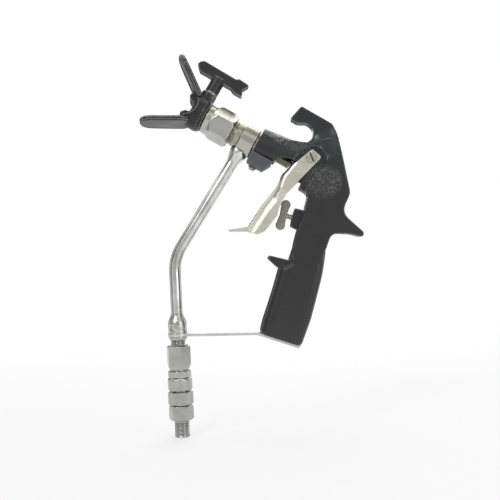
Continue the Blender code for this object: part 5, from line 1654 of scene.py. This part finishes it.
@dataclass
class TriggerGroup(Assembly):
    """The folded trigger, its pivot and the lock. Sizes are in millimetres.

    Attributes:
        half_width: Half the width over the trigger's plates.
        trough_half_width: Half the width over the trough below its crease.
        sheet: Thickness of its sheet.
        depth: More than it reaches inward from its front.
        front: Line of its front wall, run on past both ends.
        back: The rest of its outline, from the foot up round the pivot.
        lip: Outline of the lip at its foot.
        lip_half_width: Half the lip's width.
        inward: Direction from the front wall towards the grip.
        heights: Heights at which fillets are given; its width changes between the first and the third.
        fillets: Radius of the rounded front edges at those heights.
        gap: Clearance between the lock's lever and its pin.
        pin_radius: Radius of the lock's pin.
        pin_length: Where the pin ends.
        waist: Half the lever's width at its waist.
    """

    half_width: float = 12.0
    trough_half_width: float = 11.0
    sheet: float = 1.6
    depth: float = 60.0
    front: tuple = (
        (-1.0, 138.4, 0.0), (2.0, 106.4, 0.0), (-3.6, 100.2, 4.0), (-9.2, 95.0, 8.0), (-13.4, 85.6, 9.0),
        (-27.2, 70.1, 60.0), (-42.2, 49.6, 4.0), (-51.0, 37.6, 0.0))
    back: tuple = (
        (-41.0, 47.6, 3.0), (-32.0, 44.6, 4.0), (-25.4, 47.4, 3.0), (-14.6, 60.0, 4.0), (-13.0, 66.0, 3.0),
        (-5.4, 79.1, 6.0), (25.8, 108.1, 2.6), (17.9, 115.4, 2.2), (3.7, 104.9, 0.0), (-4.0, 106.0, 0.0))
    lip: tuple = (
        (-41.0, 51.4, 1.0), (-56.8, 50.0, 0.6), (-57.2, 48.2, 0.6), (-41.0, 47.6, 1.0), (-38.6, 46.6, 0.0),
        (-37.6, 47.8, 0.0))
    lip_half_width: float = 8.0
    inward: tuple = (0.789, -0.614)
    heights: tuple = (78.0, 83.0, 86.0, 94.0, 102.0)
    fillets: tuple = (10.2, 8.0, 5.6, 5.4, 4.4)
    gap: float = 0.3
    pin_radius: float = 2.3
    pin_length: float = 17.0
    waist: float = 2.9

    def build(self) -> None:
        """Builds and dresses every piece of the group."""
        finish = self.finishes
        sheet = self.pressing().skinned("folded_trigger", cell=0.36, smoothing=2)
        self.dress(sheet, finish.sheet, "trigger", "nickel", "trigger")
        lever = skin("lock_toggle", self.nodes["lock_lever"], cell=0.28, smoothing=2)
        self.dress(lever, finish.lever, "lock", "lock_metal", "lock_lever")
        self.dress(self.pin(), finish.steel, "lock", "steel", "lock_pin")
        bolt = skin("pivot_screw", self.nodes["pivot_bolt"], cell=0.20, smoothing=1)
        self.dress(bolt, finish.screw, "gun", "nickel", "pivot_bolt")
        self.repaint(finish.nickel, "pivot_nut")

    def channel(self, inset: float, depth: float) -> Solid:
        """A bar behind the trigger's front line, its front edges rounded, broadly below the crease.

        Args:
            inset: How far inside the sheet's outer face it lies, in millimetres.
            depth: How far it reaches inward.

        Returns:
            The solid.
        """
        line = refined(filleted(offset(self.front, inset), False, 8), False, 1.5)
        radius = np.interp(line[:, 1], self.heights, self.fillets)[:, None] - inset
        halves = self.trough_half_width, self.half_width
        half = np.interp(line[:, 1], self.heights[:3:2], halves)[:, None] - inset
        bend = np.linspace(0, math.pi / 2, 13)[None, :]
        deep = np.hstack((np.full_like(half, depth), radius * (1 - np.sin(bend))))
        wide = np.hstack((-half, radius - half - radius * np.cos(bend)))
        deep, wide = np.hstack((deep, deep[:, ::-1])), np.hstack((wide, -wide[:, ::-1]))
        grid = np.stack((line[:, :1] + self.inward[0] * deep, wide, line[:, 1:] + self.inward[1] * deep), -1)
        return Solid.loft(grid * MM)

    def pressing(self) -> Solid:
        """The pressed sheet: two plates that straddle the casting, the rounded trough and its lip."""
        beyond = offset(self.front[1:-1], -3.0)[1:]
        wide, lip = self.half_width + 1.0, self.lip_half_width
        solid = Solid.prism(SIDE, filleted([*beyond, *self.back], True, 8), -wide, wide)
        solid.boolean(self.channel(0.0, self.depth), "INTERSECT")
        solid.cut(self.channel(self.sheet, self.depth + 20.0))
        return solid.join(Solid.prism(SIDE, filleted(self.lip, True, 4), -lip, lip))

    def pin(self) -> Object:
        """The lock's round pin with a collar line near the lever."""
        start, end, r = self.waist + self.gap, self.pin_length, self.pin_radius
        line = r - 0.35
        corners = [
            (0.0, start, 0.0), (r, start, 0.2), (r, start + 1.6, 0.1), (line, start + 1.8, 0.1),
            (line, start + 2.3, 0.1), (r, start + 2.5, 0.1), (r, end, 0.2), (0.0, end, 0.0),
        ]
        return turned("lock_spindle", LOCK, corners, Ends.POLES, sides=72)


# Studio


QUAD = np.array(((-0.5, -0.5), (0.5, -0.5), (0.5, 0.5), (-0.5, 0.5)))  # corners of a square of side 1


@dataclass(frozen=True)
class Card:
    """A plain card that only mirrors in the metal, as a photographer sets round chrome.

    Attributes:
        name: Its name.
        spot: Its middle, in metres.
        size: Its width and its height.
        light: How light it looks, as a colour.
    """

    name: str
    spot: Spot
    size: tuple[float, float]
    light: Rgb

    def build(self) -> None:
        """Makes the card, facing the gun and seen by mirrors alone."""
        middle = np.array(self.spot)
        facing = middle / np.linalg.norm(middle)
        across = np.cross((0.0, 0.0, 1.0), facing)
        across /= np.linalg.norm(across)
        up = np.cross(facing, across)
        wide, high = across * self.size[0], up * self.size[1]
        card = flat_quad(self.name, middle + QUAD[:, :1] * wide + QUAD[:, 1:] * high)
        graph = Graph(self.name)
        glow = graph.node("ShaderNodeEmission", Color=(*self.light, 1.0), Strength=1.0)
        graph.feed(graph.output.inputs["Surface"], glow.outputs["Emission"])
        graph.material.cycles.emission_sampling = "NONE"
        card.data.materials.append(graph.material)
        card.visible_camera = False
        card.visible_diffuse = False
        card.visible_shadow = False
        card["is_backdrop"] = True


@dataclass
class Studio:
    """Pale floor, soft lamps, reflection cards and the camera. Sizes are in metres.

    Attributes:
        floor: Height of the floor.
        floor_size: Length of its sides.
        shadow_reach: Distances at which the shadow on it starts and ends to fade into the backdrop.
        middle: X and Z that the camera looks at.
        distance: From the camera to the gun's middle plane.
        width: Width of the view in that plane.
        roll: Turn of the view, in radians.
        lamps: Name, place, size and power in watts of each lamp.
        cards: The cards that the metal mirrors.
    """

    floor: float
    floor_size: float = 12.0
    shadow_reach: tuple[float, float] = (0.30, 0.85)
    middle: tuple[float, float] = (-0.03945, 0.03147)
    distance: float = 0.75
    width: float = 0.435
    roll: float = math.radians(2.7)
    lamps: tuple = (
        ("key", (-0.55, -0.85, 0.75), 0.5, 3.2), ("fill", (0.75, -0.75, 0.25), 0.6, 2.0),
        ("top", (0.0, 0.15, 1.0), 0.8, 3.5), ("rear", (0.1, 0.9, 0.5), 0.7, 3.0))
    cards: tuple[Card, ...] = (
        Card("grey_wall", (-0.15, -1.3, 0.20), (2.0, 1.0), (0.62, 0.62, 0.62)),
        Card("right_card", (1.1, -0.1, 0.20), (1.25, 1.0), (0.30, 0.30, 0.30)),
        Card("left_card", (-1.1, -0.1, 0.20), (1.1, 1.0), (0.40, 0.40, 0.40)),
        Card("left_strip", (-0.95, -0.45, 0.20), (0.14, 1.0), (0.04, 0.04, 0.04)),
        Card("ceiling", (0.25, -0.35, 1.15), (1.5, 0.9), (0.42, 0.41, 0.30)),
        Card("rear_wall", (-0.1, 1.2, 0.20), (2.2, 0.9), (0.12, 0.12, 0.12)))

    def build(self) -> None:
        """Builds the whole studio."""
        self.camera()
        self.ground()
        self.sky()
        for name, spot, size, power in self.lamps:
            self.lamp(name, spot, size, power)
        for card in self.cards:
            card.build()

    def camera(self) -> None:
        """The camera looks along +Y, turned by the roll of the view."""
        data = bpy.data.cameras.new("camera")
        data.sensor_width = 36.0
        data.lens = data.sensor_width * self.distance / self.width
        made = linked("camera", data)
        c, s = math.cos(self.roll), math.sin(self.roll)
        made.matrix_world = Matrix(((c, s, 0, self.middle[0]), (0, 0, -1, -self.distance),
                                    (-s, c, 0, self.middle[1]), (0, 0, 0, 1)))
        bpy.context.scene.camera = made

    def ground(self) -> None:
        """A pale floor that keeps the gun's soft shadow and runs into the white backdrop away from it."""
        corners = np.column_stack((QUAD * self.floor_size, np.full(4, self.floor)))
        floor = flat_quad("floor", corners)
        graph = Graph("pale_floor")
        shades = graph.mixed(graph.noise(90.0, 2.0), (0.86, 0.86, 0.86), (0.90, 0.90, 0.90))
        graph.feed(graph.shader.inputs["Base Color"], shades)
        graph.shader.inputs["Roughness"].default_value = 0.85
        spread = graph.tree.nodes.new("ShaderNodeVectorMath")
        spread.operation = "LENGTH"
        graph.feed(spread.inputs[0], graph.place())
        away = graph.span(spread.outputs["Value"], *self.shadow_reach, 0.62, 1.0)
        rays = graph.tree.nodes.new("ShaderNodeLightPath")
        seen = graph.calc("MAXIMUM", rays.outputs["Is Camera Ray"], rays.outputs["Is Glossy Ray"])
        glow = graph.node("ShaderNodeEmission")
        mix = graph.tree.nodes.new("ShaderNodeMixShader")
        mixed = graph.calc("MULTIPLY", seen, away), graph.shader.outputs["BSDF"], glow.outputs["Emission"]
        for index, value in enumerate(mixed):
            graph.feed(mix.inputs[index], value)
        graph.feed(graph.output.inputs["Surface"], mix.outputs["Shader"])
        floor.data.materials.append(graph.material)
        floor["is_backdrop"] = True

    def sky(self) -> None:
        """A world that is white where it is seen, mirrored or looked through, and gives a soft grey light."""
        world = bpy.data.worlds.new("studio")
        bpy.context.scene.world = world
        world.use_nodes = True
        nodes, links = world.node_tree.nodes, world.node_tree.links
        back = nodes["Background"]
        back.inputs["Color"].default_value = (1.0, 1.0, 1.0, 1.0)
        rays = nodes.new("ShaderNodeLightPath")
        seen = rays.outputs["Is Camera Ray"]
        for kind in ("Is Transmission Ray", "Is Glossy Ray"):
            either = nodes.new("ShaderNodeMath")
            either.operation = "MAXIMUM"
            links.new(seen, either.inputs[0])
            links.new(rays.outputs[kind], either.inputs[1])
            seen = either.outputs["Value"]
        power = nodes.new("ShaderNodeMapRange")
        power.inputs["To Min"].default_value = 0.50
        power.inputs["To Max"].default_value = 1.0
        links.new(seen, power.inputs["Value"])
        links.new(power.outputs["Result"], back.inputs["Strength"])

    def lamp(self, name: str, spot: Spot, size: float, power: float) -> None:
        """A square soft lamp that faces the gun.

        Args:
            name: Name of the lamp.
            spot: Its place.
            size: Its side.
            power: Its power in watts.
        """
        data = bpy.data.lights.new(name, "AREA")
        data.size = size
        data.energy = power
        made = linked(name, data)
        made.location = spot
        made.rotation_mode = "QUATERNION"
        away = Vector(spot) - Vector((self.middle[0], 0.0, self.middle[1]))
        made.rotation_quaternion = away.to_track_quat("Z", "Y")


def main() -> None:
    """Loads the frame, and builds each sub-assembly and the studio."""
    logging.basicConfig(level=logging.INFO, format="%(name)s: %(message)s")
    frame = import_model()
    before = [list(corner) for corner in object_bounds()]
    bpy.context.scene.view_settings.view_transform = "Standard"
    finishes = Finishes()
    for group in (Handle, NozzleHead, Valve, FluidLine, HoseSwivel, TriggerGroup):
        LOG.info("building %s", group.__name__)
        group(frame["nodes"], finishes).build()
    Studio(before[0][2]).build()


if __name__ == "__main__":
    main()
